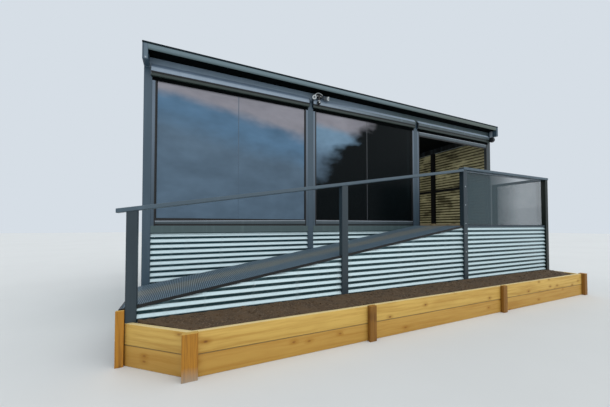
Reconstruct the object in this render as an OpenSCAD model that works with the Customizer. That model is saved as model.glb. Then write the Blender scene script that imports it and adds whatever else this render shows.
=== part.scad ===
// Raised deck cabin with a ramp, a landing and a timber planter along its front.
// Millimetres. X runs right along the front, Y runs back, Z is up from level ground.

/* [Cabin] */
// Distance between the centres of two front posts
bay_w = 2438; // [2200:1:2700]
// Depth of the cabin over its posts
cabin_d = 3250; // [2800:10:3800]
// Height of the landing above level ground
deck_h = 1335; // [1300:5:1500]
// Height of the roof panel's underside above the landing
eaves_h = 2295; // [2150:5:2500]
// Width of a cabin post, along the wall
post_w = 100; // [80:1:120]
// Depth of a cabin post, across the wall
post_d = 90; // [75:1:110]
// Depth of the beams over the posts
beam_h = 140; // [120:5:190]
// Thickness of the beams over the posts
beam_t = 90; // [70:1:90]

/* [Roof] */
// Thickness of the roof panel
roof_t = 96; // [75:1:150]
// How far the roof stands out in front of the posts
roof_front = 186; // [100:1:300]
// How far the roof stands out behind the rear posts
roof_rear = 186; // [100:1:300]
// Thickness of the folded capping along the front and the rear edge
fascia_t = 12; // [8:1:25]
// Thickness of an end barge
barge_t = 66; // [40:1:90]
// Height of an end barge
barge_h = 234; // [200:1:234]
// Height of a rib of the roof sheet
rib_h = 28; // [20:1:35]
// Width of a rib at its foot
rib_w = 70; // [50:1:90]
// Distance between two ribs of the roof sheet
rib_gap = 250; // [200:1:350]

/* [Floor] */
// Thickness of the floor boards
board_t = 40; // [25:1:50]
// Height of the steel floor frame
frame_h = 100; // [80:1:150]
// Thickness of a floor joist or edge beam
joist_t = 50; // [40:1:70]
// Greatest spacing of the floor joists
joist_gap = 480; // [350:10:600]

/* [Cladding] */
// Depth of the corrugated sheet from crest to valley
sheet_t = 17; // [12:1:25]
// How far the front skirt lies behind the faces of the posts
skirt_in = 12; // [5:1:30]
// Height of a wall girt's centre above the floor boards
girt_z = 980; // [800:10:1200]
// Section of a wall girt
girt_s = 60; // [40:1:60]

/* [Blinds] */
// Height of a hood's front cover, below the beam
hood_h = 118; // [90:1:130]
// How far a hood's front cover stands out in front of the posts
hood_d = 38; // [30:1:42]
// How far the cover's sloping top rises in front of the beam
hood_rise = 56; // [40:1:58]
// How far a hood's cover reaches over the faces of the posts at its ends
hood_over = 16; // [5:1:30]
// Depth of a hood's box between the posts
hood_back = 67; // [50:1:85]
// How far a hood's box hangs below its cover
hood_drop = 50; // [30:1:80]
// Wall thickness of a hood
hood_t = 4; // [3:1:8]
// Width of a side track of a blind
track_w = 45; // [30:1:55]
// Depth of a side track of a blind
track_d = 30; // [25:1:40]
// Thickness of the clear sheet of a blind
curtain_t = 3; // [2:1:5]
// Height of a blind's bottom bar
bar_h = 72; // [50:1:90]
// Gap below a lowered bottom bar
bar_gap = 25; // [10:1:40]
// How far a clear sheet reaches up into its hood
curtain_up = 60; // [20:1:90]
// Thickness of a blind's bottom bar
bar_t = 26; // [15:1:30]
// Diameter of the gear housing at the right end of the last hood
gear_d = 118; // [100:1:118]
// Length of the gear housing
gear_l = 84; // [60:1:100]
// Distance from the gear housing's centre to the faces of the posts
gear_front = 72; // [68:1:85]
// How far the gear housing's centre lies below the beam
gear_down = 58; // [58:1:80]
// Width of the hanger between the roof and the gear housing
hanger_w = 12; // [8:1:16]
// Depth of the hanger between the roof and the gear housing
hanger_d = 60; // [40:1:90]

/* [Ramp] */
// Width of the ramp and the landing, from the cabin's face to the faces of the outer posts
walk_w = 1082; // [950:1:1300]
// How far the ramp falls along its length
ramp_fall = 803; // [700:1:840]
// How far the ramp's foot reaches past the first outer post's centre
ramp_toe = 100; // [80:1:160]
// Thickness of the riser that closes the ramp's foot
foot_t = 40; // [30:1:50]
// Thickness of the ramp's mesh deck
mesh_t = 30; // [20:1:40]
// Height of a ramp stringer
stringer_h = 92; // [70:1:120]
// Thickness of a ramp stringer
stringer_t = 50; // [30:1:60]
// How far the landing reaches beyond the last cabin post's centre
landing_out = 135; // [60:1:200]
// Thickness of the landing's boards
landing_t = 24; // [18:1:35]

/* [Outer posts and rails] */
// Width of an outer post
outer_w = 96; // [80:1:110]
// Depth of an outer post
outer_d = 80; // [65:1:100]
// How far the outer sheet lies behind the faces of the outer posts
outer_in = 20; // [10:1:30]
// Height of the handrail above the ramp
rail_h = 972; // [900:1:1100]
// Height of the rails above the landing
landing_rail_h = 1006; // [940:1:1140]
// Thickness of a rail
rail_t = 42; // [30:1:60]
// Width of a rail
rail_w = 100; // [70:1:120]
// How far the handrail reaches past the foot of the ramp
rail_over = 32; // [10:1:80]
// Thickness of the landing's glass
glass_t = 10; // [8:1:16]

/* [Planter] */
// Height of one sleeper
sleeper_h = 200; // [150:1:200]
// Thickness of one sleeper
sleeper_t = 50; // [40:1:75]
// Distance from the outer posts to the planter's front face
planter_d = 496; // [400:1:700]
// Distance from the first outer post's centre to the planter's front corner
planter_corner = 518; // [300:1:800]
// Depth of the soil below the planter's rim
soil_in = 18; // [10:1:60]
// Length of one sleeper along the front
sleeper_l = 2520; // [2200:10:2700]
// Width of a peg
peg_w = 96; // [70:1:120]
// Width of the peg at the front corner
corner_peg_w = 133; // [100:1:150]
// Width of the peg at the ramp's foot
end_peg_w = 72; // [50:1:90]
// How far the peg at the ramp's foot stands above the sleepers
end_peg_up = 130; // [50:1:150]
// Thickness of a peg
peg_t = 50; // [40:1:75]
// How far a peg stands above the sleepers
peg_up = 8; // [2:1:30]
// How far the planter's right end reaches past the landing's corner post
planter_over = 10; // [5:1:60]

/* [Security light] */
// Distance from the second front post's centre to the light's centre
light_x = 150; // [140:1:300]
// Height of the light's mount
mount_h = 60; // [30:1:60]
// How far the light's mount stands out in front of the beam
mount_d = 76; // [70:1:100]
// Distance between the centres of the two spot lamps
spot_gap = 204; // [180:1:260]
// Diameter of a spot lamp
spot_d = 84; // [70:1:95]
// Length of a spot lamp
spot_l = 92; // [80:1:120]
// Angle of each spot lamp away from straight ahead
spot_turn = 30; // [10:1:45]
// Angle by which the spot lamps look down
spot_down = 12; // [0:1:20]
// Diameter of the movement sensor
sensor_d = 62; // [50:1:68]
// How far the sensor's centre hangs below the mount
sensor_down = 100; // [60:1:130]
// Width of the arm between the mount and the sensor
arm_w = 24; // [15:1:40]

/* [Hidden] */

$fn = 48;
// Hair of clearance between separate pieces that only lie side by side
hair = 0.5;
// How far the front pane laps behind its posts
lap = 30;
// Number of bays along the front
bays = 3;
// Centre of the last cabin post
last_x = bays * bay_w;
// Outer faces of the cabin, left and right
left_x = -post_w / 2;
right_x = last_x + post_w / 2;
// Height of the roof panel's underside
eaves_z = deck_h + eaves_h;
// Underside of the beams
beam_z = eaves_z - beam_h;
// Underside of the hoods
hood_z = beam_z - hood_h - hood_drop;
// Underside of the floor frame
frame_z = deck_h - frame_h;
// Face of the outer sheet
outer_y = -walk_w + outer_in;
// Back of the outer posts
outer_back = -walk_w + outer_d;
// Where the ramp meets the landing
ramp_top_x = 2 * bay_w - outer_w / 2;
// Length of the ramp on plan
ramp_run = ramp_top_x + ramp_toe;
// Slope of the ramp
ramp_slope = ramp_fall / ramp_run;
// Centre of the landing's corner post
corner_x = last_x + landing_out;
// Outer face of the landing's side
side_x = corner_x + outer_w / 2 - outer_in;
// Planter rim and front face
rim_z = 2 * sleeper_h;
planter_y = -walk_w - planter_d;
planter_end_x = corner_x + outer_w / 2 + planter_over;
// Plane of the blinds' clear sheets, in the middle of their tracks
sheet_y = track_d / 2;
// Ends of the whole object, which place its origin at the middle of its base
low_x = -ramp_toe - rail_over;
high_x = planter_end_x + peg_w;
low_y = planter_y - peg_t;
high_y = cabin_d + roof_rear;

// Level of the ramp's surface at a distance along the front
function ramp_z(x) = deck_h - ramp_slope * (ramp_top_x - x);
// Centre of a front post
function post_x(i) = i * bay_w;
// Centre of an outer post
function outer_x(i) = i < bays ? i * bay_w : corner_x;

// Moves a piece so that the origin is at the middle of the base
module placed() {
    translate([-(low_x + high_x) / 2, -(low_y + high_y) / 2, 0]) children();
}

// Box from its low corner to its high corner
module span(a, b) {
    translate(a) cube(b - a);
}

// Slab that follows the ramp between two places, as high as given, in a band of Y
module sloped(x1, x2, top, height, y1, y2) {
    translate([0, y2, 0])
        rotate([90, 0, 0])
            linear_extrude(height = y2 - y1)
                polygon([
                    [x1, ramp_z(x1) + top - height],
                    [x2, ramp_z(x2) + top - height],
                    [x2, ramp_z(x2) + top],
                    [x1, ramp_z(x1) + top]
                ]);
}

module floor_frame() {
    joists = ceil((right_x - left_x) / joist_gap);
    pitch = (right_x - left_x - joist_t) / joists;
    color("darkslategray")
        difference() {
            union() {
                span([left_x, 0, frame_z], [right_x, joist_t, deck_h]);
                span([left_x, cabin_d - joist_t, frame_z], [right_x, cabin_d, deck_h]);
                for (i = [0 : joists])
                    translate([left_x + i * pitch, 0, frame_z])
                        cube([joist_t, cabin_d, frame_h]);
            }
            post_space();
        }
}

// Room taken by the cabin's own posts
module post_space() {
    for (i = [0 : bays]) {
        span([post_x(i) - post_w / 2, -1, 0], [post_x(i) + post_w / 2, post_d, eaves_z]);
        span([post_x(i) - post_w / 2, cabin_d - post_d, 0],
             [post_x(i) + post_w / 2, cabin_d + 1, eaves_z]);
    }
    for (side = [0, 1])
        middle_post(side);
}

// Post in the middle of an end wall, inside the sheet
module middle_post(side) {
    x = side == 0 ? left_x + sheet_t : right_x - sheet_t - post_d;
    span([x, cabin_d / 2 - post_w / 2, 0], [x + post_d, cabin_d / 2 + post_w / 2, beam_z]);
}

module floor_boards() {
    color("peru")
        difference() {
            span([left_x + sheet_t, track_d + hair, deck_h],
                 [right_x - sheet_t, cabin_d - sheet_t, deck_h + board_t]);
            post_space();
        }
}

module front_post(i) {
    color("slategray")
        span([post_x(i) - post_w / 2, 0, 0], [post_x(i) + post_w / 2, post_d, beam_z]);
}

module rear_posts() {
    color("slategray")
        for (i = [0 : bays])
            span([post_x(i) - post_w / 2, cabin_d - post_d - (middle(i) ? sheet_t : 0), 0],
                 [post_x(i) + post_w / 2, cabin_d - (middle(i) ? sheet_t : 0), beam_z]);
}

// True for a post that isn't at a corner
function middle(i) = i > 0 && i < bays;

// Middle posts and girts that carry the sheets of the end walls and the rear wall
module wall_frames() {
    low = deck_h + board_t + girt_z - girt_s / 2;
    color("dimgray") {
        for (side = [0, 1]) {
            x = side == 0 ? left_x + sheet_t : right_x - sheet_t - girt_s;
            union() {
                middle_post(side);
                span([x, post_d, low], [x + girt_s, cabin_d - post_d, low + girt_s]);
            }
        }
        for (i = [0 : bays - 1])
            span([post_x(i) + post_w / 2, cabin_d - sheet_t - girt_s, low],
                 [post_x(i + 1) - post_w / 2, cabin_d - sheet_t, low + girt_s]);
    }
}

module front_beam() {
    color("slategray")
        span([left_x, 0, beam_z], [right_x, beam_t, eaves_z]);
}

module rear_beam() {
    color("slategray")
        span([left_x, cabin_d - beam_t, beam_z], [right_x, cabin_d, eaves_z]);
}

// Beam over an end wall, between the front and the rear beam
module end_beam(x) {
    color("slategray")
        span([x, beam_t, beam_z], [x + beam_t, cabin_d - beam_t, eaves_z]);
}

// Panel with flat valleys and trapezoid ribs that run from the front to the rear
module roof_panel() {
    x1 = left_x + barge_t;
    x2 = right_x - barge_t;
    top = eaves_z + roof_t;
    ribs = round((x2 - x1) / rib_gap);
    pitch = (x2 - x1) / ribs;
    color("gainsboro")
        translate([0, cabin_d + roof_rear - fascia_t, 0])
            rotate([90, 0, 0])
                linear_extrude(height = cabin_d + roof_front + roof_rear - 2 * fascia_t)
                    polygon([
                        [x1, top - rib_h],
                        [x1, eaves_z],
                        [x2, eaves_z],
                        [x2, top - rib_h],
                        for (i = [ribs - 1 : -1 : 0])
                            each rib(x1 + (i + 0.5) * pitch, top)
                    ]);
}

// Section of one rib, half as wide at its crest as at its foot
function rib(x, top) = [
    [x + rib_w / 2, top - rib_h],
    [x + rib_w / 4, top],
    [x - rib_w / 4, top],
    [x - rib_w / 2, top - rib_h]
];

// Folded capping along a long edge of the roof
module roof_edge(y) {
    color("darkseagreen")
        span([left_x + barge_t, y, eaves_z], [right_x - barge_t, y + fascia_t, eaves_z + roof_t]);
}

// End barge; its foot is notched round the beams and the wall below it
module barge(side) {
    x = side == 0 ? left_x : right_x - barge_t;
    color("slategray")
        difference() {
            span([x, -roof_front, eaves_z + roof_t - barge_h],
                 [x + barge_t, cabin_d + roof_rear, eaves_z + roof_t]);
            span([x - 1, 0, beam_z - barge_h], [x + barge_t + 1, cabin_d, eaves_z]);
        }
}

// Sheet of an end wall, from the floor frame to the beam
module end_wall(x) {
    color("lightsteelblue")
        span([x, post_d, deck_h], [x + sheet_t, cabin_d - post_d, beam_z]);
}

module rear_wall() {
    color("lightsteelblue")
        span([left_x + post_w, cabin_d - sheet_t, deck_h],
             [right_x - post_w, cabin_d, beam_z]);
}

// Corrugated skirt below the cabin's front, one sheet between each two posts
module front_skirt() {
    color("lightgray")
        for (i = [0 : bays - 1])
            span([post_x(i) + post_w / 2, skirt_in, 0],
                 [post_x(i + 1) - post_w / 2, skirt_in + sheet_t, frame_z]);
}

module end_skirt(x) {
    color("lightgray")
        span([x, post_d, 0], [x + sheet_t, cabin_d - post_d, frame_z]);
}

module rear_skirt() {
    color("lightgray")
        span([left_x + post_w, cabin_d - sheet_t, 0], [right_x - post_w, cabin_d, frame_z]);
}

// Solid along X with a section given as points of Y and Z
module profile(x1, x2, points) {
    translate([x1, 0, 0])
        rotate([90, 0, 90])
            linear_extrude(height = x2 - x1)
                polygon(points);
}

// Hood over a blind: a front cover with a sloping top, and a box behind it that is open below
module blind_hood(i) {
    x1 = post_x(i) + post_w / 2;
    x2 = post_x(i + 1) - post_w / 2;
    cover_z = beam_z - hood_h;
    t = hood_t;
    color("lightsteelblue")
        difference() {
            union() {
                profile(x1 - hood_over, x2 + hood_over, [
                    [0, cover_z],
                    [-hood_d, cover_z],
                    [-hood_d, beam_z],
                    [0, beam_z + hood_rise]
                ]);
                span([x1, 0, hood_z], [x2, hood_back, beam_z]);
            }
            span([x1 + t, t, hood_z - 1], [x2 - t, hood_back - t, beam_z - t]);
            profile(x1 + t, x2 - t, [
                [2 * t, cover_z + t],
                [-hood_d + t, cover_z + t],
                [-hood_d + t, beam_z - t],
                [2 * t, beam_z - t]
            ]);
        }
}

// Underside of a bottom bar: the first two blinds are down, the last one is up
function bar_z(i) = i < bays - 1 ? deck_h + bar_gap : hood_z - bar_h - hair;

// Clear sheet of a blind, from its bottom bar up into its hood
module blind_curtain(i) {
    color([0.6, 0.7, 0.8, 0.4])
        span([post_x(i) + post_w / 2 + track_w / 2, sheet_y - curtain_t / 2, bar_z(i) + bar_h],
             [post_x(i + 1) - post_w / 2 - track_w / 2, sheet_y + curtain_t / 2,
              hood_z + curtain_up]);
}

// Bars at the foot of the three clear sheets
module blind_bottom_bars() {
    color("darkgray")
        for (i = [0 : bays - 1])
            span([post_x(i) + post_w / 2 + track_w + hair, sheet_y - bar_t / 2, bar_z(i)],
                 [post_x(i + 1) - post_w / 2 - track_w - hair, sheet_y + bar_t / 2,
                  bar_z(i) + bar_h]);
}

// Channels that guide the sheets, two to a bay
module blind_tracks() {
    color("silver")
        for (i = [0 : bays - 1]) {
            track(post_x(i) + post_w / 2, true);
            track(post_x(i + 1) - post_w / 2 - track_w, false);
        }
}

// One channel, with its slot open towards the sheet
module track(x, opens_right) {
    slot = curtain_t + 2 * hair;
    inner = opens_right ? x + track_w / 2 - hair : x - 1;
    difference() {
        span([x, 0, deck_h], [x + track_w, track_d, hood_z]);
        translate([inner, sheet_y - slot / 2, deck_h - 1])
            cube([track_w / 2 + 1 + hair, slot, hood_z - deck_h + 2]);
    }
}

// Round gear housing at the right end of the last hood, hung from the roof
module blind_gear() {
    x = last_x - post_w / 2 + hood_over;
    z = beam_z - gear_down;
    color("dimgray")
        union() {
            translate([x, -gear_front, z]) rotate([0, 90, 0]) cylinder(d = gear_d, h = gear_l);
            span([x, -gear_front - hanger_d / 2, z],
                 [x + hanger_w, -gear_front + hanger_d / 2, eaves_z]);
        }
}

// Twin spot lamps on a mount on the beam, with a movement sensor hung between them
module security_light() {
    x = post_x(1) + light_x;
    low = beam_z + hood_rise + 6;
    spot_y = -mount_d / 2;
    arm_y = -mount_d + arm_w / 2;
    color("black")
        union() {
            span([x - spot_gap / 2, -mount_d, low], [x + spot_gap / 2, 0, low + mount_h]);
            for (side = [-1, 1])
                translate([x + side * spot_gap / 2, spot_y, low])
                    rotate([90 + spot_down, 0, side * spot_turn])
                        cylinder(d = spot_d, h = spot_l);
            span([x - arm_w / 2, -mount_d, low - sensor_down],
                 [x + arm_w / 2, -mount_d + arm_w, low + 1]);
            translate([x, arm_y, low - sensor_down]) sphere(d = sensor_d);
        }
}

// Mesh surface of the ramp, cut round the outer posts
module ramp_deck() {
    color("dimgray")
        difference() {
            sloped(-ramp_toe, ramp_top_x, 0, mesh_t, outer_y, 0);
            outer_space();
        }
}

// Room taken by the outer posts and by the post where the side rail meets the cabin
module outer_space() {
    for (i = [0 : bays])
        span([outer_x(i) - outer_w / 2, -walk_w - 1, 0],
             [outer_x(i) + outer_w / 2, outer_back, eaves_z]);
    span([corner_x - outer_w / 2, -outer_d, 0], [corner_x + outer_w / 2, 1, eaves_z]);
}

// Stringers and cross bars under the mesh, fixed to the cabin's and the outer posts
module ramp_frame() {
    bars = ceil(ramp_run / joist_gap);
    pitch = (ramp_run - stringer_t) / bars;
    cross_h = stringer_h / 2;
    front = outer_y + sheet_t;
    color("darkslategray")
        difference() {
            sloped(-ramp_toe, ramp_top_x, -mesh_t, stringer_h, front, 0);
            sloped(-ramp_toe - stringer_t, ramp_top_x + stringer_t, -mesh_t - cross_h, stringer_h,
                   front + stringer_t, -stringer_t);
            for (i = [0 : bars - 1])
                sloped(-ramp_toe + i * pitch + stringer_t, -ramp_toe + (i + 1) * pitch,
                       0, mesh_t + stringer_h, front + stringer_t, -stringer_t);
            outer_space();
        }
}

// Riser under the ramp's foot, down to the ground
module ramp_foot() {
    color("darkslategray")
        span([-ramp_toe, -walk_w, 0],
             [-ramp_toe + foot_t, 0, ramp_z(-ramp_toe) - mesh_t - stringer_h]);
}

// Corrugated sheets below the ramp, cut to its slope
module ramp_skirt() {
    color("lightgray")
        for (i = [0, 1]) {
            x1 = outer_x(i) + outer_w / 2;
            x2 = outer_x(i + 1) - outer_w / 2;
            translate([0, outer_y + sheet_t, 0])
                rotate([90, 0, 0])
                    linear_extrude(height = sheet_t)
                        polygon([
                            [x1, 0],
                            [x2, 0],
                            [x2, ramp_z(x2) - mesh_t],
                            [x1, ramp_z(x1) - mesh_t]
                        ]);
        }
}

module landing_boards() {
    color("gray")
        difference() {
            span([ramp_top_x, outer_y, deck_h - landing_t], [side_x, 0, deck_h]);
            outer_space();
        }
}

// Joists and edge beams under the landing, fixed to the cabin's and the outer posts
module landing_frame() {
    top = deck_h - landing_t;
    low = top - frame_h;
    x1 = ramp_top_x + hair;
    x2 = side_x - sheet_t;
    y1 = outer_y + sheet_t;
    joists = ceil((x2 - x1) / joist_gap);
    pitch = (x2 - x1 - joist_t) / joists;
    color("darkslategray")
        difference() {
            union() {
                span([x1, y1, low], [x2, y1 + joist_t, top]);
                span([x1, -joist_t, low], [x2, 0, top]);
                for (i = [0 : joists])
                    span([x1 + i * pitch, y1, low], [x1 + i * pitch + joist_t, 0, top]);
            }
            outer_space();
        }
}

// Corrugated sheets below the landing, in front and on its right
module landing_skirts() {
    top = deck_h - landing_t;
    color("lightgray") {
        span([outer_x(2) + outer_w / 2, outer_y, 0], [corner_x - outer_w / 2, outer_y + sheet_t, top]);
        span([side_x - sheet_t, outer_back, 0], [side_x, -outer_d, top]);
    }
}

// Outer post, from the ground to the underside of its rail
module outer_post(i) {
    x = outer_x(i);
    top = i < 2 ? ramp_z(x - outer_w / 2) + rail_h - hair : deck_h + landing_rail_h;
    color("slategray")
        span([x - outer_w / 2, -walk_w, 0],
             [x + outer_w / 2, outer_back, top - rail_t]);
}

// Post beside the cabin's corner, under the end of the side rail
module end_post() {
    color("slategray")
        span([corner_x - outer_w / 2, -outer_d, 0],
             [corner_x + outer_w / 2, 0, deck_h + landing_rail_h - rail_t]);
}

// Handrail along the ramp
module ramp_handrail() {
    y = -walk_w + outer_d / 2;
    color("slategray")
        sloped(low_x, ramp_top_x, rail_h, rail_t, y - rail_w / 2, y + rail_w / 2);
}

// Rails along the landing's front and its side, back to the end post
module landing_rails() {
    y = -walk_w + outer_d / 2;
    z = deck_h + landing_rail_h;
    color("slategray")
        union() {
            span([ramp_top_x, y - rail_w / 2, z - rail_t],
                 [corner_x + rail_w / 2, y + rail_w / 2, z]);
            span([corner_x - rail_w / 2, y, z - rail_t], [corner_x + rail_w / 2, 0, z]);
        }
}

// Tinted panes between the landing and its rails; the front one is fixed behind its posts
module landing_glass() {
    low = deck_h;
    high = deck_h + landing_rail_h - rail_t;
    edge = outer_w / 2 - lap;
    color([0.5, 0.6, 0.6, 0.4]) {
        span([outer_x(2) + edge, outer_back, low], [corner_x - edge, outer_back + glass_t, high]);
        span([corner_x, outer_back, low], [corner_x + glass_t, -outer_d, high]);
    }
}

// Two courses of sleepers along the planter's front
module planter_front() {
    color("burlywood")
        for (k = [0, 1])
            span([planter_corner, planter_y, k * sleeper_h],
                 [planter_end_x, planter_y + sleeper_t, (k + 1) * sleeper_h]);
}

// Splayed boards at the left end and square boards at the right end
module planter_ends() {
    back_y = -walk_w;
    splay = [planter_corner + outer_w / 2, back_y - planter_y];
    len = norm(splay);
    color("burlywood")
        for (k = [0, 1]) {
            translate([0, 0, k * sleeper_h])
                linear_extrude(height = sleeper_h)
                    polygon([
                        [planter_corner, planter_y],
                        [-outer_w / 2, back_y],
                        [-outer_w / 2 + sleeper_t * len / splay[1], back_y],
                        [planter_corner, planter_y + sleeper_t * len / splay[0]]
                    ]);
            span([planter_end_x - sleeper_t, planter_y + sleeper_t, k * sleeper_h],
                 [planter_end_x, back_y, (k + 1) * sleeper_h]);
        }
}

// Pegs against the outside of the sleepers, and one against the ramp's foot
module planter_pegs() {
    top = rim_z + peg_up;
    color("peru") {
        for (i = [1, 2]) {
            x = planter_end_x - i * sleeper_l;
            span([x - peg_w / 2, planter_y - peg_t, 0], [x + peg_w / 2, planter_y, top]);
        }
        span([planter_corner - corner_peg_w / 2, planter_y - peg_t, 0],
             [planter_corner + corner_peg_w / 2, planter_y, top]);
        span([planter_end_x, planter_y - peg_t, 0],
             [planter_end_x + peg_w, planter_y + peg_t, top]);
        span([-outer_w / 2 - hair - end_peg_w, -walk_w - peg_t / 2, 0],
             [-outer_w / 2 - hair, -walk_w, rim_z + end_peg_up]);
    }
}

module planter_soil() {
    in = sleeper_t;
    top = rim_z - soil_in;
    color("saddlebrown")
        linear_extrude(height = top)
            polygon([
                [planter_corner + in, planter_y + in],
                [planter_end_x - in, planter_y + in],
                [planter_end_x - in, -walk_w],
                [outer_w / 2, -walk_w]
            ]);
}

placed() floor_frame();
placed() floor_boards();
placed() front_post(0);  // front_post_1
placed() front_post(1);  // front_post_2
placed() front_post(2);  // front_post_3
placed() front_post(3);  // front_post_4
placed() rear_posts();
placed() wall_frames();
placed() front_beam();
placed() rear_beam();
placed() end_beam(left_x);  // left_beam
placed() end_beam(right_x - beam_t);  // right_beam
placed() roof_panel();
placed() roof_edge(-roof_front);  // front_fascia
placed() roof_edge(cabin_d + roof_rear - fascia_t);  // rear_fascia
placed() barge(0);  // left_barge
placed() barge(1);  // right_barge
placed() end_wall(left_x);  // left_wall
placed() end_wall(right_x - sheet_t);  // right_wall
placed() rear_wall();
placed() front_skirt();
placed() end_skirt(left_x);  // left_skirt
placed() end_skirt(right_x - sheet_t);  // right_skirt
placed() rear_skirt();
placed() blind_hood(0);  // blind_hood_1
placed() blind_hood(1);  // blind_hood_2
placed() blind_hood(2);  // blind_hood_3
placed() blind_gear();
placed() blind_curtain(0);  // blind_curtain_1
placed() blind_curtain(1);  // blind_curtain_2
placed() blind_curtain(2);  // blind_curtain_3
placed() blind_bottom_bars();
placed() blind_tracks();
placed() security_light();
placed() ramp_deck();
placed() ramp_frame();
placed() ramp_foot();
placed() ramp_skirt();
placed() landing_boards();
placed() landing_frame();
placed() landing_skirts();
placed() outer_post(0);  // outer_post_1
placed() outer_post(1);  // outer_post_2
placed() outer_post(2);  // outer_post_3
placed() outer_post(3);  // outer_post_4
placed() end_post();
placed() ramp_handrail();
placed() landing_rails();
placed() landing_glass();
placed() planter_front();
placed() planter_ends();
placed() planter_pegs();
placed() planter_soil();
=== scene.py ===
"""Finish and fine detail of the raised deck cabin, built round its packed frame.

Metres and degrees. X runs right along the front, Y runs back, Z is up from level ground.
"""

import math
import random
from contextlib import contextmanager

import bmesh
import bpy
from bpy.props import FloatProperty, FloatVectorProperty, IntProperty, PointerProperty
from mathutils import Matrix, Vector, noise


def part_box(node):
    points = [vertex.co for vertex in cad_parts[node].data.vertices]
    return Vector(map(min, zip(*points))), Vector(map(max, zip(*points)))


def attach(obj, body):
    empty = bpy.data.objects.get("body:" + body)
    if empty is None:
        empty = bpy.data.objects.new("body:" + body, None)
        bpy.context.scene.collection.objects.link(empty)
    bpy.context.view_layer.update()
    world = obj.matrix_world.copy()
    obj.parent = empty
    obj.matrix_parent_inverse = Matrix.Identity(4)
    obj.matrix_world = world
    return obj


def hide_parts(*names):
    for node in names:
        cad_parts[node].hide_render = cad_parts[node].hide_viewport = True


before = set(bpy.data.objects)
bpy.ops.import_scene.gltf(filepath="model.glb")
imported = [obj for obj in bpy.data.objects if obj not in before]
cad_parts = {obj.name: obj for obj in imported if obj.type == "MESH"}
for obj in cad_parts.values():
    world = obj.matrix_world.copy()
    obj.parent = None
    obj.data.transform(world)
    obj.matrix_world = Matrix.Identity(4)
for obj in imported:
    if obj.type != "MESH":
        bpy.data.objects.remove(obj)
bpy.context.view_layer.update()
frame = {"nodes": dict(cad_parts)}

bl_info = {
    "name": "Raised Deck Cabin",
    "version": (1, 0, 0),
    "blender": (4, 5, 0),
    "location": "View3D > Sidebar > Deck Cabin",
    "description": "Builds the sheets, blinds, ramp, planter and finishes of a raised deck cabin",
    "category": "Object",
}


# Colours and sizes that a user would change

def screen(red, green, blue):
    """A colour given as screen values from 0 to 255, as the linear numbers that shaders use."""
    return tuple((v / 255 / 12.92) if v <= 10 else ((v / 255 + 0.055) / 1.055) ** 2.4
                 for v in (red, green, blue))


def colour(name, description, *rgb):
    return FloatVectorProperty(name=name, description=description, default=screen(*rgb),
                               subtype="COLOR", size=3, min=0.0, max=1.0)


def length(name, description, metres):
    return FloatProperty(name=name, description=description, default=metres, subtype="DISTANCE",
                         unit="LENGTH")


def share(name, description, value):
    return FloatProperty(name=name, description=description, default=value, min=0.0, max=1.0,
                         subtype="FACTOR")


def angle(name, description, degrees):
    return FloatProperty(name=name, description=description, default=math.radians(degrees),
                         subtype="ANGLE", unit="ROTATION")


def amount(name, description, value):
    return FloatProperty(name=name, description=description, default=value, min=0.0)


class CabinSheets(bpy.types.PropertyGroup):
    """Sizes of the corrugated sheet and the roof sheet."""

    pitch: length("Pitch", "Distance between two crests of the corrugated sheet", 0.076)
    crest: length("First crest", "Height of a crest below the landing's surface", 0.151)
    gauge: length("Gauge", "Thickness of the corrugated sheet's metal", 0.0012)
    segments: IntProperty(name="Segments", description="Flats in one corrugation", default=14)
    dent: length("Dent", "How far the thin sheet wanders from flat", 0.0015)
    roof_rib: length("Roof rib", "Height of a rib of the roof sheet", 0.028)
    roof_pitch: length("Roof rib spacing", "Distance between two ribs of the roof sheet", 0.25)


class CabinBlinds(bpy.types.PropertyGroup):
    """Sizes of the roller blinds."""

    gauge: length("Gauge", "Thickness of the clear sheet", 0.001)
    edge_band: length("Edge band", "Width of the dark band along a side of a clear sheet", 0.021)
    ripple: length("Ripple", "Depth of the ripples in the clear sheets", 0.0025)
    track: length("Track", "Width of a side track", 0.045)
    face: length("Hood face", "Height of the upright part of a hood's front", 0.056)
    groove: length("Groove", "Height of the groove below a hood's face", 0.020)
    bend: length("Bend", "Height of the rounded edge below a hood's face", 0.010)
    lip: length("Lip", "Height of the lip below the groove", 0.020)
    metal: length("Metal", "Thickness of a hood's metal", 0.003)


class CabinRamp(bpy.types.PropertyGroup):
    """Sizes of the ribbed walking surface."""

    rib_pitch: length("Rib spacing", "Distance between two ribs across the ramp", 0.020)
    rib_width: length("Rib width", "Width of a rib", 0.009)
    rib_height: length("Rib height", "How far a rib stands above the mat", 0.007)
    bar_pitch: length("Bar spacing", "Distance between two bars along the ramp", 0.044)
    thickness: length("Thickness", "Thickness of the whole mesh", 0.030)
    nosing: length("Nosing", "Width of the edge strip", 0.012)


class CabinPlanter(bpy.types.PropertyGroup):
    """Sizes of the timber planter."""

    arris: length("Arris", "Radius of a sleeper's worn edges", 0.006)
    bow: length("Bow", "How far a sleeper is out of straight", 0.0025)
    board_gap: length("Gap", "Gap between two sleepers that meet end to end", 0.003)
    clod: length("Clod", "Height of the soil's lumps", 0.020)
    soil_step: length("Soil step", "Spacing of the points of the soil's surface", 0.018)
    lumps: IntProperty(name="Lumps", description="Loose lumps on the soil", default=520)


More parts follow.
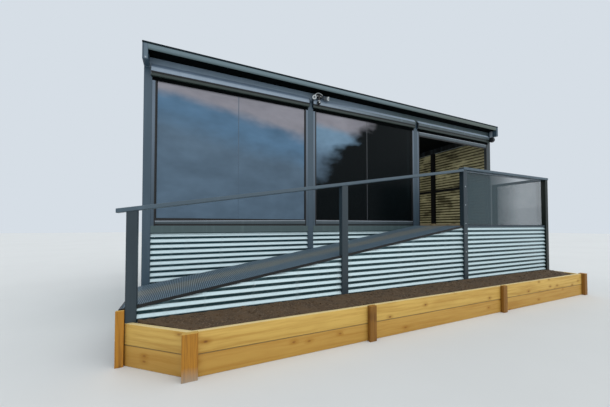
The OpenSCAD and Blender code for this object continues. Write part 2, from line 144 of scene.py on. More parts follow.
class CabinColours(bpy.types.PropertyGroup):
    """Colours of every finish."""

    frame: colour("Frame", "Blue-grey paint of posts and beams", 58, 78, 92)
    # Painted shade: the post at the right end, and the side tracks next to it, are coloured darker
    # for the shade they stand in.
    last_post_shade: colour("Right post", "Paint of the post at the right end", 38, 50, 54)
    rail: colour("Rail", "Paint of the rails", 68, 86, 98)
    outer: colour("Outer posts", "Paint of the outer posts", 37, 52, 60)
    corner: colour("Landing corner", "Paint of the posts at the landing's right", 12, 25, 20)
    beam: colour("Beam", "Paint of the beams over the blinds", 114, 132, 148)
    # Painted shade: the beams grow darker towards the right end.
    beam_shaded_right: colour("Beam, right", "Paint of the beams at the right end", 80, 96, 100)
    dark_steel: colour("Dark steel", "Paint of hidden steelwork", 24, 29, 33)
    band: colour("Floor band", "Paint of the floor frame's edge", 70, 90, 92)
    fascia: colour("Fascia", "Grey-green paint of the roof's edge", 98, 119, 127)
    # Painted shade: the fascia darkens towards the right end and down towards its foot.
    fascia_shaded_right: colour("Fascia, right", "Grey-green paint at the right end", 82, 94, 88)
    fascia_shaded_foot: colour("Fascia, foot", "Lower edge of the fascia", 60, 78, 80)
    capping: colour("Capping", "Dark folded strip along the roof's edge", 12, 28, 34)
    plate: colour("Barge plate", "End plates of the barges", 86, 105, 118)
    # Painted shadow: the roof's underside and the room's ceiling are coloured near black for the
    # shade they lie in.
    soffit: colour("Soffit", "Underside of the roof", 3, 8, 9)
    roof: colour("Roof", "Top of the roof sheet", 150, 158, 158)
    zinc: colour("Zinc", "Bright part of the corrugated sheet", 196, 217, 222)
    zinc_shade: colour("Zinc shade", "Shaded flank of the corrugated sheet", 34, 68, 75)
    # Inside the room the sheet's bright part is a painted warm reflection, and its dark flank painted
    # shade.
    inner: colour("Inner sheet", "Bright part of the sheet inside the room", 186, 182, 144)
    inner_shade: colour("Inner shade", "Shaded flank of the sheet inside the room", 66, 62, 38)
    # Painted light: the hoods' faces pass from lit at the left to shaded at the right, and their
    # sloping tops from shaded to lit.
    hood: colour("Hood", "Face of the hood at the left end", 146, 162, 178)
    hood_far: colour("Hood, far", "Face of the hood at the right end", 76, 90, 94)
    slope: colour("Hood top", "Sloping top of the hood at the left end", 106, 124, 144)
    slope_lit_right: colour("Hood top, far", "Sloping top of the hood at the right end", 172, 190, 206)
    track: colour("Track", "Upper part of the side tracks", 96, 112, 128)
    track_foot: colour("Track foot", "Lower part of the side tracks", 60, 78, 92)
    # Painted shade: the lip and underside of a hood are coloured darker than its face, for the shade
    # under the face.
    lip: colour("Lip", "Lower lip of a hood", 46, 58, 54)
    bar: colour("Bar", "Powder coating of the bottom bars", 76, 88, 94)
    strap: colour("Strap", "Pale strap and end plates", 150, 160, 170)
    rubber: colour("Rubber", "Seals, brushes and edge bands", 14, 16, 18)
    # Painted reflections: the haze colours stand for what the clear sheets reflect, and the dark part
    # for the shaded room seen through them.
    sheet_high: colour("Sheet, upper part", "Haze in the top of a clear sheet", 146, 144, 152)
    sheet_mid: colour("Sheet, middle", "Haze in the middle of a clear sheet", 90, 121, 148)
    pane_mid: colour("Second sheet", "Haze in the middle of the second clear sheet", 122, 152, 176)
    sheet_low: colour("Sheet, lower part", "Haze in the foot of a clear sheet", 92, 112, 130)
    sheet_dark: colour("Sheet, dark part", "Where a clear sheet shows the dark room", 11, 17, 19)
    glint: colour("Pale seam", "Welded seam of the second clear sheet", 150, 160, 172)
    glass: colour("Glass", "Tint of the landing's panes", 38, 62, 68)
    mesh: colour("Mesh", "Ribs of the walking surface", 112, 134, 150)
    # Painted shade: the walking surface darkens down each rib into this colour in the hollows.
    mesh_hollow_shade: colour("Mesh gaps", "Hollows between the ribs", 44, 60, 72)
    # Dust and a painted sheen: the paler tan band along the ramp's trodden middle.
    mesh_dust_and_sheen: colour("Dust", "Trodden dust along the middle of the ramp", 164, 158, 138)
    pine: colour("Pine", "Pale wood of the sleepers", 212, 174, 88)
    # Painted light: the sleepers' top faces are coloured lighter for the light that falls on them.
    pine_top_lit: colour("Pine top", "Fresh upper faces of the sleepers", 236, 216, 160)
    pine_dark: colour("Pine grain", "Dark grain of the sleepers", 168, 120, 40)
    peg: colour("Peg", "Pale wood of the pegs", 180, 122, 24)
    peg_dark: colour("Peg grain", "Dark grain of the pegs", 106, 66, 10)
    knot: colour("Knot", "Knots in the sleepers", 126, 80, 28)
    # Painted shade: the lower course of sleepers is coloured deeper and darker for the shade near the
    # ground.
    low_course_shade: colour("Lower sleepers", "Deeper colour of the lower course", 158, 106, 16)
    damp: colour("Damp", "Pale damp foot of the pegs", 158, 154, 144)
    soil: colour("Soil", "Garden soil", 96, 76, 54)
    soil_pale: colour("Dry soil", "Dry crumbs on the soil", 138, 116, 92)
    plank: colour("Planks", "Floor boards inside", 150, 132, 98)
    plank_dark: colour("Plank grain", "Grain of the floor boards", 104, 88, 60)
    lamp: colour("Lamp", "Black arm and sensor of the security light", 16, 17, 19)
    lamp_body: colour("Lamp body", "Grey mount and housings of the security light", 116, 122, 128)
    rim: colour("Lamp rim", "Pale rims and mount of the security light", 206, 212, 214)
    screw: colour("Screw", "Plated screw heads", 190, 198, 202)


class CabinStage(bpy.types.PropertyGroup):
    """The studio, and the camera at the photograph's viewing angle."""

    eye: FloatVectorProperty(name="Eye", description="Where the camera stands", size=3,
                             default=(-3.2735, -5.0558, 1.335), subtype="TRANSLATION",
                             unit="LENGTH")
    turn: angle("Turn", "Camera's turn from straight ahead towards the right", 24.244)
    tilt: angle("Tilt", "Camera's tilt above the horizon", 1.306)
    lens: amount("Lens", "Focal length in millimetres on a 36 mm wide sensor", 15.857)
    rise: share("Rise", "Upward shift of the lens, as a share of the picture's width", 0.0263)
    floor: colour("Floor", "Pale studio floor", 226, 228, 228)
    backdrop: colour("Backdrop", "Pale studio background", 214, 222, 230)
    fill: share("Fill", "Strength of the even light from all round", 0.80)
    key: amount("Key", "Strength of the soft main light", 0.9)
    room: amount("Room", "Power of the soft light inside the room", 26.0)


GROUPS = {
    "cabin_sheets": CabinSheets, "cabin_blinds": CabinBlinds, "cabin_ramp": CabinRamp,
    "cabin_planter": CabinPlanter, "cabin_colours": CabinColours, "cabin_stage": CabinStage,
}


def settings(name):
    return getattr(bpy.context.scene, "cabin_" + name)


# Shapes

class Shape:
    """Points and faces of one piece, gathered before its mesh is made."""

    def __init__(self):
        self.points, self.faces, self.finishes, self.values = [], [], [], {}

    def add(self, points, faces, finishes, **values):
        """Adds points and faces; values holds one list for each name, with one value a point."""
        start = len(self.points)
        self.points.extend(tuple(p) for p in points)
        self.faces.extend(tuple(start + i for i in face) for face in faces)
        self.finishes.extend(finishes)
        for name, column in values.items():
            self.values.setdefault(name, {}).update(enumerate(column, start))

    def loft(self, rings, finish=0, **values):
        """Closed solid through rings of points. Finish is a number, or one for each side."""
        count = len(rings[0])
        sides = [finish] * count if isinstance(finish, int) else list(finish)
        faces, finishes = [], []
        for k in range(0, (len(rings) - 1) * count, count):
            for i in range(count):
                j = (i + 1) % count
                faces.append((k + i, k + j, k + count + j, k + count + i))
            finishes += sides
        last = (len(rings) - 1) * count
        faces += [tuple(reversed(range(count))), tuple(range(last, last + count))]
        finishes += [sides[0], sides[0]]
        self.add([p for ring in rings for p in ring], faces, finishes, **values)

    def prism(self, outline, start, end, finish=0):
        """Straight solid along X, from an outline of (y, z)."""
        self.loft([[(x, y, z) for y, z in outline] for x in (start, end)], finish)

    def box(self, low, high, finish=0):
        self.prism(oblong(low[1], low[2], high[1], high[2]), low[0], high[0], finish)

    def turned(self, profile, place, sides):
        """Solid of revolution through (distance, radius). Place turns (a, b, c) into a point."""
        ring = [(math.cos(t), math.sin(t)) for t in (math.tau * i / sides for i in range(sides))]
        self.loft([[place(a, r * c, r * s) for c, s in ring] for a, r in profile])


def oblong(a, b, c, d):
    """Outline of the rectangle with corners (a, b) and (c, d)."""
    return [(a, b), (c, b), (c, d), (a, d)]


def rounded(width, height, radius, steps=3):
    """Outline of a rectangle with round corners, from its low corner."""
    centres = [(width - radius, radius, -90), (width - radius, height - radius, 0),
               (radius, height - radius, 90), (radius, radius, 180)]
    return [(x + radius * math.cos(math.radians(start + 90 * k / steps)),
             y + radius * math.sin(math.radians(start + 90 * k / steps)))
            for x, y, start in centres for k in range(steps + 1)]


def spread(start, end, step):
    """Evenly spaced values from start to end, about one step apart."""
    count = max(1, round(abs(end - start) / step))
    return [start + (end - start) * i / count for i in range(count + 1)]


def points_of(name):
    """Points of a node of the frame."""
    return [v.co for v in frame["nodes"][name].data.vertices]


def put(name, data, place=(0, 0, 0), turn=(0, 0, 0)):
    """Puts an object into the scene."""
    made = bpy.data.objects.new(name, data)
    made.location, made.rotation_euler = place, turn
    bpy.context.scene.collection.objects.link(made)
    return made


@contextmanager
def editing(mesh):
    """Opens a mesh for editing and writes it back."""
    solid = bmesh.new()
    solid.from_mesh(mesh)
    yield solid
    solid.to_mesh(mesh)
    solid.free()


def piece(name, shape, finishes, slot, *nodes, sharp=35):
    """Makes the mesh of a shape, with its finishes, and lets it ride on the cabin."""
    mesh = bpy.data.meshes.new(name)
    mesh.from_pydata(shape.points, [], shape.faces)
    mesh.polygons.foreach_set("material_index", shape.finishes)
    for label, column in shape.values.items():
        wide = not isinstance(next(iter(column.values())), float)
        layer = mesh.attributes.new(label, "FLOAT_VECTOR" if wide else "FLOAT", "POINT")
        empty = (0.0, 0.0, 0.0) if wide else 0.0
        for i, item in enumerate(layer.data):
            setattr(item, "vector" if wide else "value", column.get(i, empty))
    for finish in finishes:
        mesh.materials.append(finish)
    with editing(mesh) as solid:
        bmesh.ops.recalc_face_normals(solid, faces=solid.faces)
    mesh.shade_smooth()
    mesh.set_sharp_from_angle(angle=math.radians(sharp))
    made = put(name, mesh)
    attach(made, "root")
    if nodes:
        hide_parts(*nodes)
    return made


def dress(name, finish, soft):
    """Gives a node of the frame its finish and slightly rounded edges."""
    made = frame["nodes"][name]
    made.data.materials.clear()
    made.data.materials.append(finish)
    weld = made.modifiers.new("Weld", "WELD")
    weld.merge_threshold = 0.0001
    bevel = made.modifiers.new("Soft edges", "BEVEL")
    bevel.width, bevel.segments, bevel.limit_method = soft, 2, "ANGLE"


def cut_above(made, point, normal):
    """Cuts away what lies above a plane, and closes the cut."""
    with editing(made.data) as solid:
        everything = solid.verts[:] + solid.edges[:] + solid.faces[:]
        cut = bmesh.ops.bisect_plane(solid, geom=everything, plane_co=point, plane_no=normal,
                                     clear_outer=True)
        rim = [g for g in cut["geom_cut"] if isinstance(g, bmesh.types.BMEdge)]
        bmesh.ops.holes_fill(solid, edges=rim, sides=0)
        bmesh.ops.recalc_face_normals(solid, faces=solid.faces)


# Shader building

class Value:
    """A number, vector or colour in a shader tree. Sums add the math nodes that they need."""

    def __init__(self, tree, socket):
        self.tree, self.socket = tree, socket

    def math(self, operation, other=0.0):
        return value(self.tree, "ShaderNodeMath", {0: self, 1: other}, operation=operation)

    def __add__(self, other):
        return self.math("ADD", other)

    def __sub__(self, other):
        return self.math("SUBTRACT", other)

    def __mul__(self, other):
        return self.math("MULTIPLY", other)

    def __truediv__(self, other):
        return self.math("DIVIDE", other)

    def clamped(self):
        self.socket.node.use_clamp = True
        return self


def node(tree, kind, inputs=None, **values):
    """Adds a shader node; inputs are set to numbers or linked to values."""
    made = tree.nodes.new(kind)
    for name, setting in values.items():
        setattr(made, name, setting)
    for name, given in (inputs or {}).items():
        if isinstance(given, Value):
            tree.links.new(given.socket, made.inputs[name])
        else:
            made.inputs[name].default_value = given
    return made


def value(tree, kind, inputs=None, output=0, **values):
    """Adds a shader node and gives what one of its outputs holds."""
    return Value(tree, node(tree, kind, inputs, **values).outputs[output])


def place_in(tree):
    """Coordinates in the cabin's own frame."""
    return value(tree, "ShaderNodeTexCoord", output="Object")


def axis_of(given, name):
    return value(given.tree, "ShaderNodeSeparateXYZ", {0: given}, name)


def facing_up(tree):
    return axis_of(value(tree, "ShaderNodeNewGeometry", output="Normal"), "Z")


def attribute(tree, name, output="Fac"):
    return value(tree, "ShaderNodeAttribute", output=output, attribute_name=name)


def grey(given):
    return value(given.tree, "ShaderNodeCombineColor", {0: given, 1: given, 2: given})


def blend(factor, a, b, kind="MIX"):
    """Colour blend of a and b."""
    tree = next(v.tree for v in (factor, a, b) if isinstance(v, Value))
    a, b = (v if isinstance(v, Value) else (*v, 1.0) for v in (a, b))
    return value(tree, "ShaderNodeMix", {0: factor, 6: a, 7: b}, 2, data_type="RGBA",
                 blend_type=kind)


def fit(given, low, high, to_low=0.0, to_high=1.0):
    """Value moved smoothly from one range to another."""
    return value(given.tree, "ShaderNodeMapRange",
                 {"Value": given, "From Min": low, "From Max": high, "To Min": to_low,
                  "To Max": to_high}, "Result", interpolation_type="SMOOTHSTEP")


def stretched(given, *scale):
    """Coordinates stretched by a scale for each axis."""
    return value(given.tree, "ShaderNodeMapping", {"Vector": given, "Scale": scale}, "Vector")


def mottle(given, scale, detail=4.0, roughness=0.6):
    return value(given.tree, "ShaderNodeTexNoise",
                 {"Vector": given, "Scale": scale, "Detail": detail, "Roughness": roughness})


def bump(height, strength, distance):
    return value(height.tree, "ShaderNodeBump",
                 {"Height": height, "Strength": strength, "Distance": distance})


def feed(sockets, **values):
    """Links or sets sockets; an underscore in a name stands for a space."""
    for name, given in values.items():
        socket = sockets[name.replace("_", " ")]
        if isinstance(given, Value):
            given.tree.links.new(given.socket, socket)
        else:
            socket.default_value = (*given, 1.0) if socket.type == "RGBA" else given


def shared_group(name, colours, numbers, outputs, build):
    """The node group of that name, built the first time. Numbers hold a default for each input."""
    if name not in bpy.data.node_groups:
        tree = bpy.data.node_groups.new(name, "ShaderNodeTree")
        for label in (*colours, *numbers):
            kind = "NodeSocketColor" if label in colours else "NodeSocketFloat"
            socket = tree.interface.new_socket(label, in_out="INPUT", socket_type=kind)
            socket.default_value = numbers.get(label, (1.0, 1.0, 1.0, 1.0))
        for label in outputs:
            kind = "NodeSocketColor" if label == "Colour" else "NodeSocketFloat"
            tree.interface.new_socket(label, in_out="OUTPUT", socket_type=kind)
        given = tree.nodes.new("NodeGroupInput").outputs
        made = build(tree, {s.name: Value(tree, s) for s in given})
        feed(tree.nodes.new("NodeGroupOutput").inputs, **dict(zip(outputs, made)))
    return bpy.data.node_groups[name]


def put_group(tree, group, **inputs):
    made = node(tree, "ShaderNodeGroup", node_tree=group)
    feed(made.inputs, **inputs)
    return {s.name: Value(tree, s) for s in made.outputs}


def material(name, build):
    """The finish of that name. Build gives its shader's inputs the first time."""
    full = "cabin_" + name
    if full not in bpy.data.materials:
        made = bpy.data.materials.new(full)
        made.use_nodes = True
        tree = made.node_tree
        shader = next(n for n in tree.nodes if n.type == "BSDF_PRINCIPLED")
        feed(shader.inputs, **build(tree))
    return bpy.data.materials[full]


# Effects that several finishes share

def weathering_group():
    """Paint or metal out of doors: faint mottling, streaks that run down, and dust on top faces."""
    def build(tree, given):
        place = place_in(tree)
        broad = mottle(place, given["Grain Size"])
        runs = mottle(stretched(place, 7.0, 7.0, 0.5), 1.6, 5.0)
        shade = (broad - 0.5) * given["Mottling"] * 2.0 + 1.0
        base = blend(1.0, given["Colour"], grey(shade), "MULTIPLY")
        streak = fit(runs, 0.50, 0.72) * given["Streaks"]
        dust = fit(facing_up(tree), 0.5, 1.0) * (fit(broad, 0.35, 0.7) * given["Streaks"])
        faded = blend(streak.math("MAXIMUM", dust), base, given["Streak Colour"])
        rough = given["Roughness"] + (broad - 0.5) * 0.25
        return faded, rough.clamped(), mottle(place, 60.0, 3.0)
    return shared_group("Weathering", ("Colour", "Streak Colour"),
                        {"Streaks": 0.2, "Mottling": 0.1, "Grain Size": 3.0, "Roughness": 0.4},
                        ("Colour", "Roughness", "Height"), build)


def weathered(tree, base, streak, metallic, grain, reach, **values):
    """Shader inputs of a weathered metal; the values go to the group."""
    worn = put_group(tree, weathering_group(), Colour=base, Streak_Colour=streak, **values)
    return dict(Base_Color=worn["Colour"], Roughness=worn["Roughness"], Metallic=metallic,
                Normal=bump(worn["Height"], grain, reach))


def timber_group():
    """Sawn pine: streaks and rings along each board, with knots, in the board's own place."""
    def build(tree, given):
        board = attribute(tree, "board", "Vector")
        warp = value(tree, "ShaderNodeTexNoise", {"Vector": stretched(board, 1.4, 4.0, 4.0),
                                                  "Scale": 1.0, "Detail": 2.0}, "Color")
        bent = value(tree, "ShaderNodeVectorMath", {0: warp, 1: (0.06, 0.06, 0.06)},
                     operation="MULTIPLY")
        grain = value(tree, "ShaderNodeVectorMath", {0: board, 1: bent}, operation="ADD")
        rings = mottle(stretched(grain, 0.9, 26.0, 26.0), given["Streak Size"], 6.0, 0.62)
        fibre = mottle(stretched(board, 6.0, 190.0, 190.0), 1.0, 3.0, 0.6)
        patch = mottle(stretched(board, 0.8, 2.0, 2.0), 1.3, 3.0)
        cells = node(tree, "ShaderNodeTexVoronoi",
                     {"Vector": stretched(grain, 3.6, 6.5, 6.5), "Scale": 1.0}, feature="F1",
                     voronoi_dimensions="2D").outputs
        chance = value(tree, "ShaderNodeSeparateColor", {0: Value(tree, cells["Color"])})
        chosen, away = fit(chance, 0.54, 0.58), Value(tree, cells["Distance"])
        knots = fit(away, given["Knot Size"], 0.02) * chosen
        halo = fit(away, 0.30, 0.06) * chosen
        streak = (fit(rings, 0.38, 0.72, 0.0, 0.62) + halo * 0.5).clamped()
        wood = blend(streak, given["Pale"], given["Dark"])
        wood = blend(fit(fibre, 0.45, 0.85, 0.0, 0.22), wood, given["Dark"])
        wood = blend(fit(patch, 0.5, 0.8, 0.0, 0.4), wood, given["Dark"])
        # Painted light: upward faces blend towards the Top colour, lighter as if lit from above.
        wood = blend(fit(facing_up(tree), 0.4, 0.9, 0.0, 0.8), wood, given["Top"])
        wood = blend(knots, wood, given["Knot"])
        # Colour below a height: real damp on the pegs, painted shade on the lower sleepers.
        below = given["Stain Top"] - axis_of(place_in(tree), "Z")
        stain = (below / given["Stain Fade"] - patch).clamped() * given["Stain"]
        wood = blend(stain, wood, given["Stain Colour"])
        joint = fit(below.math("ABSOLUTE"), 0.009, 0.003) * given["Joint"]
        wood = blend(joint, wood, screen(70, 46, 16))
        return wood, streak * 0.15 + 0.62, rings * 0.6 + fibre * 0.4
    return shared_group("Sawn Timber", ("Pale", "Dark", "Knot", "Top", "Stain Colour"),
                        {"Streak Size": 1.0, "Knot Size": 0.1, "Stain": 0.0, "Stain Top": 0.2,
                         "Stain Fade": 0.15, "Joint": 0.0},
                        ("Colour", "Roughness", "Height"), build)


def painted_reflection_group():
    """What a clear sheet shows: painted reflections in soft bands from top to foot, and painted shade
    of the dark room past a slant.
    """
    def build(tree, given):
        place = place_in(tree)
        across, up = axis_of(place, "X") - given["Centre"], axis_of(place, "Z")
        drift = mottle(stretched(place, 0.55, 1.0, 1.3), given["Cloud Size"], 3.0, 0.5) - 0.5
        soft = mottle(stretched(place, 1.6, 1.0, 3.0), 1.7, 2.5, 0.5) - 0.5
        level = up + across * given["Slant"] + drift * 0.35 - given["Level"] + soft * 0.20
        reflection = blend(fit(level, -0.62, -0.20), given["Low"], given["Middle"])
        reflection = blend(fit(level, -0.11, 0.11), reflection, given["High"])
        reflection = blend(1.0, reflection, grey(soft * 0.6 + 1.0), "MULTIPLY")
        dark = fit(across - up + given["Dark Start"] + soft * 0.9, -0.26, 0.26)
        return blend(dark, reflection, given["Dark"]), (given["Cover"] - dark * 0.01).clamped()
    return shared_group("Sheet Haze", ("High", "Middle", "Low", "Dark"),
                        {"Level": 2.7, "Slant": 0.0, "Centre": 0.0, "Cloud Size": 1.0,
                         "Dark Start": 9.0, "Cover": 0.9}, ("Colour", "Cover"), build)


# Finishes

COATS = {
    "frame_paint": dict(shade="frame"),
    "rail_paint": dict(shade="rail"),
    # The beams pass into painted shade towards the right.
    "beam_paint": dict(shade="beam", streaks=0.12, other="beam_shaded_right", start=-0.7, end=1.0),
    "right_post_paint": dict(shade="last_post_shade"),
    "outer_post_paint": dict(shade="outer"),
    "corner_post_paint": dict(shade="corner", gloss=0.25),
    # Painted shadow: the wall frames inside the room are coloured near black.
    "inner_frame_paint": dict(shade="lamp", streaks=0.1, rough=0.7, gloss=0.1),
    "band_paint": dict(shade="band", streaks=0.3),
    "dark_steel": dict(shade="dark_steel", streaks=0.25, rough=0.55),
    "rubber": dict(shade="rubber", streaks=0.05, rough=0.6, grain=0.1),
    # Painted light along the hoods: the face from lit to shaded, the sloping top from shaded to lit.
    "hood_coat": dict(shade="hood", streaks=0.12, mottling=0.05, rough=0.45, metallic=0.1,
                      other="hood_far", start=-1.9, end=1.2),
    "slope_coat": dict(shade="slope", streaks=0.1, mottling=0.05, rough=0.45, other="slope_lit_right",
                       start=-1.9, end=1.0),
    "lip_coat": dict(shade="lip", streaks=0.1, rough=0.4),
    # Painted shade: the tracks darken towards the right end into the shaded colour of the right post;
    # they are also darker at the foot.
    "track_coat": dict(shade="track_foot", streaks=0.1, mottling=0.06, rough=0.4, other="track",
                       axis="Z", start=1.4, end=3.0, right="last_post_shade", from_x=2.9, to_x=3.3),
    "strap_coat": dict(shade="strap", streaks=0.15, rough=0.4),
    "bar_coat": dict(shade="bar", streaks=0.15, rough=0.36, metallic=0.3),
    "plated_screw": dict(shade="screw", streaks=0.1, rough=0.3, metallic=0.8),
    "roof_sheet": dict(shade="roof", streaks=0.3, rough=0.45, metallic=0.2),
    # Painted shadow under the roof, as near black paint.
    "soffit": dict(shade="soffit", streaks=0.0, rough=0.9, gloss=0.05),
    # The fascia passes from painted shade at its foot up to its full colour, and into painted shade
    # towards the right.
    "fascia_paint": dict(shade="fascia_shaded_foot", streaks=0.1, mottling=0.08, other="fascia", axis="Z",
                         right="fascia_shaded_right", from_x=-0.4, to_x=2.4),
    "capping": dict(shade="capping", streaks=0.0, rough=0.6, gloss=0.1),
    "barge_plate": dict(shade="plate", streaks=0.2),
    "seam_dark": dict(shade="sheet_mid", depth=0.5, streaks=0.0, rough=0.3),
    "seam_pale": dict(shade="glint", depth=0.14, streaks=0.0, rough=0.3),
    "lamp_black": dict(shade="lamp", streaks=0.05, rough=0.35),
    "lamp_grey": dict(shade="lamp_body", streaks=0.05, rough=0.35),
    "lamp_rim": dict(shade="rim", streaks=0.1, rough=0.3),
    "lamp_lens": dict(shade="rim", depth=0.25, streaks=0.0, rough=0.08),
}


def tone(name, depth=1.0):
    """A colour of the settings; a depth below 1 darkens it."""
    return tuple(v * depth for v in getattr(settings("colours"), name))


def painted(name, shade, depth=1.0, streaks=0.18, mottling=0.10, rough=0.42, metallic=0.0,
            grain=0.25, gloss=0.5, other=None, axis="X", start=0.0, end=1.0, right=None,
            from_x=0.0, to_x=1.0):
    """Satin paint or coated metal with weathering. It may pass into another colour along an axis,
    and into a last one towards the right."""
    def build(tree):
        plain = base = tone(shade, depth)
        if other:
            base = blend(fit(axis_of(place_in(tree), axis), start, end), base, tone(other))
        if right:
            base = blend(fit(axis_of(place_in(tree), "X"), from_x, to_x), base, tone(right))
        streak = [min(1.0, v * 1.6 + 0.03) for v in plain]
        made = weathered(tree, base, streak, metallic, grain, 0.0006, Streaks=streaks,
                         Mottling=mottling, Grain_Size=3.0, Roughness=rough)
        return made | dict(Specular_IOR_Level=gloss)
    return material(name, build)


def coat(name, **values):
    """The painted finish of that name in the table of coats."""
    return painted(name, **COATS[name], **values)


def shadow_black():
    """Black seals and gaps that no light reaches."""
    return material("shadow_black", lambda tree: dict(
        Base_Color=screen(3, 5, 6), Specular_IOR_Level=0.05,
        Roughness=fit(mottle(place_in(tree), 30.0, 3.0), 0.2, 0.8, 0.85, 0.95)))


def zinc(name="zinc_sheet", bright="zinc", shade="zinc_shade", metallic=0.25, rough=0.38,
         start=-0.10, painted_light_patches=False):
    """Zinc-coated corrugated sheet, with painted shade on the flank of each corrugation that faces
    down.
    """
    def build(tree):
        place = place_in(tree)
        drift = mottle(stretched(place, 0.9, 0.9, 12.0), 1.0, 4.0)
        flank = attribute(tree, "flank") + (drift - 0.5) * 0.22
        base = blend(fit(flank, start, 0.50 + start / 3), tone(bright), tone(shade))
        # Painted light inside the room: cloudy patches of painted shade, and paler patches as painted
        # reflections.
        if painted_light_patches:
            cloud = mottle(stretched(place, 1.0, 1.0, 2.2), 1.6, 3.0, 0.7)
            base = blend(fit(cloud, 0.50, 0.66, 0.0, 0.7), base, tone(shade), "MULTIPLY")
            painted_highlight = [min(1.0, v) for v in tone(bright, 1.5)]
            base = blend(fit(cloud, 0.46, 0.32, 0.0, 0.55), base, painted_highlight)
        return weathered(tree, base, tone(bright, 0.62), metallic, 0.12, 0.0005, Streaks=0.22,
                         Mottling=0.10, Grain_Size=2.2, Roughness=rough)
    return material(name, build)


def zinc_outside():
    """Sheets under the ramp and the landing, whose bands of painted shade are broader."""
    return zinc("zinc_outside", start=-0.5)


def clear_sheet(number, level, slant, cloud, dark_start, cover):
    """Clear flexible sheet with cloudy painted reflections."""
    def build(tree):
        low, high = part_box(f"blind_curtain_{number}")
        reflection = put_group(tree, painted_reflection_group(), High=tone("sheet_high"), Low=tone("sheet_low"),
                         Middle=tone("pane_mid" if number == 2 else "sheet_mid"),
                         Dark=tone("sheet_dark"), Level=level, Slant=slant, Cover=cover,
                         Centre=(low.x + high.x) / 2, Cloud_Size=cloud, Dark_Start=dark_start)
        return dict(Base_Color=reflection["Colour"], Alpha=reflection["Cover"], Roughness=0.2,
                    Specular_IOR_Level=0.04)
    return material(f"clear_sheet_{number}", build)


def tinted_glass():
    def build(tree):
        low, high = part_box("landing_glass")
        place = place_in(tree)
        smear = fit(mottle(place, 2.0, 3.0), 0.3, 0.7, -0.012, 0.012)
        # The panes' own tint, made more opaque towards the left as painted shade where the dark room
        # lies behind.
        cover = smear + fit(axis_of(place, "X"), low.x + 0.5, high.x - 0.7, 0.84, 0.26)
        return dict(Base_Color=tone("glass"), Alpha=cover, Roughness=0.04, IOR=1.5)
    return material("tinted_glass", build)


def timber(name, pale="peg", dark="peg_dark", top="pine", depth=1.0, streak=2.2, knot=0.02,
           stain_tone="damp", stain=0.0, fade=0.12, joint=0.0):
    """Sawn timber. Its stain reaches up to the top of the lower sleepers: real damp on the pegs,
    painted shade on the sleepers.
    """
    def build(tree):
        wood = put_group(tree, timber_group(), Pale=tone(pale, depth), Dark=tone(dark),
                         Top=tone(top), Knot=tone("knot"), Streak_Size=streak, Knot_Size=knot,
                         Stain_Colour=tone(stain_tone), Stain=stain, Stain_Top=0.2,
                         Stain_Fade=fade, Joint=joint)
        return dict(Base_Color=wood["Colour"], Roughness=wood["Roughness"],
                    Normal=bump(wood["Height"], 0.45, 0.0015))
    return material(name, build)


def sleeper_timber():
    return timber("sleeper_timber", "pine", "pine_dark", "pine_top_lit", streak=1.0, knot=0.10,
                  stain_tone="low_course_shade", stain=0.45, fade=0.002, joint=0.55)


def soil_finish():
    def build(tree):
        place = place_in(tree)
        crumbs = mottle(place, 46.0, 6.0, 0.7)
        earth = blend(fit(crumbs, 0.48, 0.72), tone("soil", 0.6), tone("soil_pale"))
        earth = blend(fit(mottle(place, 5.0, 4.0), 0.3, 0.7), earth, tone("soil"))
        return dict(Base_Color=earth, Roughness=0.95, Normal=bump(crumbs, 1.0, 0.012))
    return material("soil_finish", build)


def mesh_finish():
    """Ribbed walking surface with painted shade in its hollows, and dust and a painted sheen along
    the middle.
    """
    def build(tree):
        low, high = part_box("ramp_deck")
        place, wide = place_in(tree), high.y - low.y
        rib = attribute(tree, "rib")
        drift = mottle(stretched(place, 0.7, 3.0, 1.0), 2.2, 4.0)
        away = (axis_of(place, "Y") - (low.y + high.y) / 2).math("ABSOLUTE")
        # A band along the middle, of dust and painted sheen.
        dust = fit(away + (drift - 0.5) * 0.35, wide * 0.28, wide * 0.04, 0.0, 0.50)
        steel = blend(rib, tone("mesh_hollow_shade"), tone("mesh"))
        dust_and_sheen = blend(rib, tone("mesh_dust_and_sheen", 0.35), tone("mesh_dust_and_sheen"))
        return dict(Base_Color=blend(dust, steel, dust_and_sheen), Roughness=0.5, Metallic=0.1,
                    Normal=bump(drift, 0.2, 0.002))
    return material("mesh_finish", build)


# Places that several pieces share

def bays(posts="front_post"):
    """Left and right edge of each bay between the front posts, or between the outer posts."""
    ends = [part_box(f"{posts}_{i}") for i in range(1, 5)]
    return [(ends[i][1].x, ends[i + 1][0].x) for i in range(3)]


def ramp_line():
    """Left end of the ramp's surface, its height there, and its rise per metre."""
    low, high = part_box("ramp_deck")
    foot = low.z + settings("ramp").thickness
    return low.x, foot, (high.z - foot) / (high.x - low.x)


# Operators

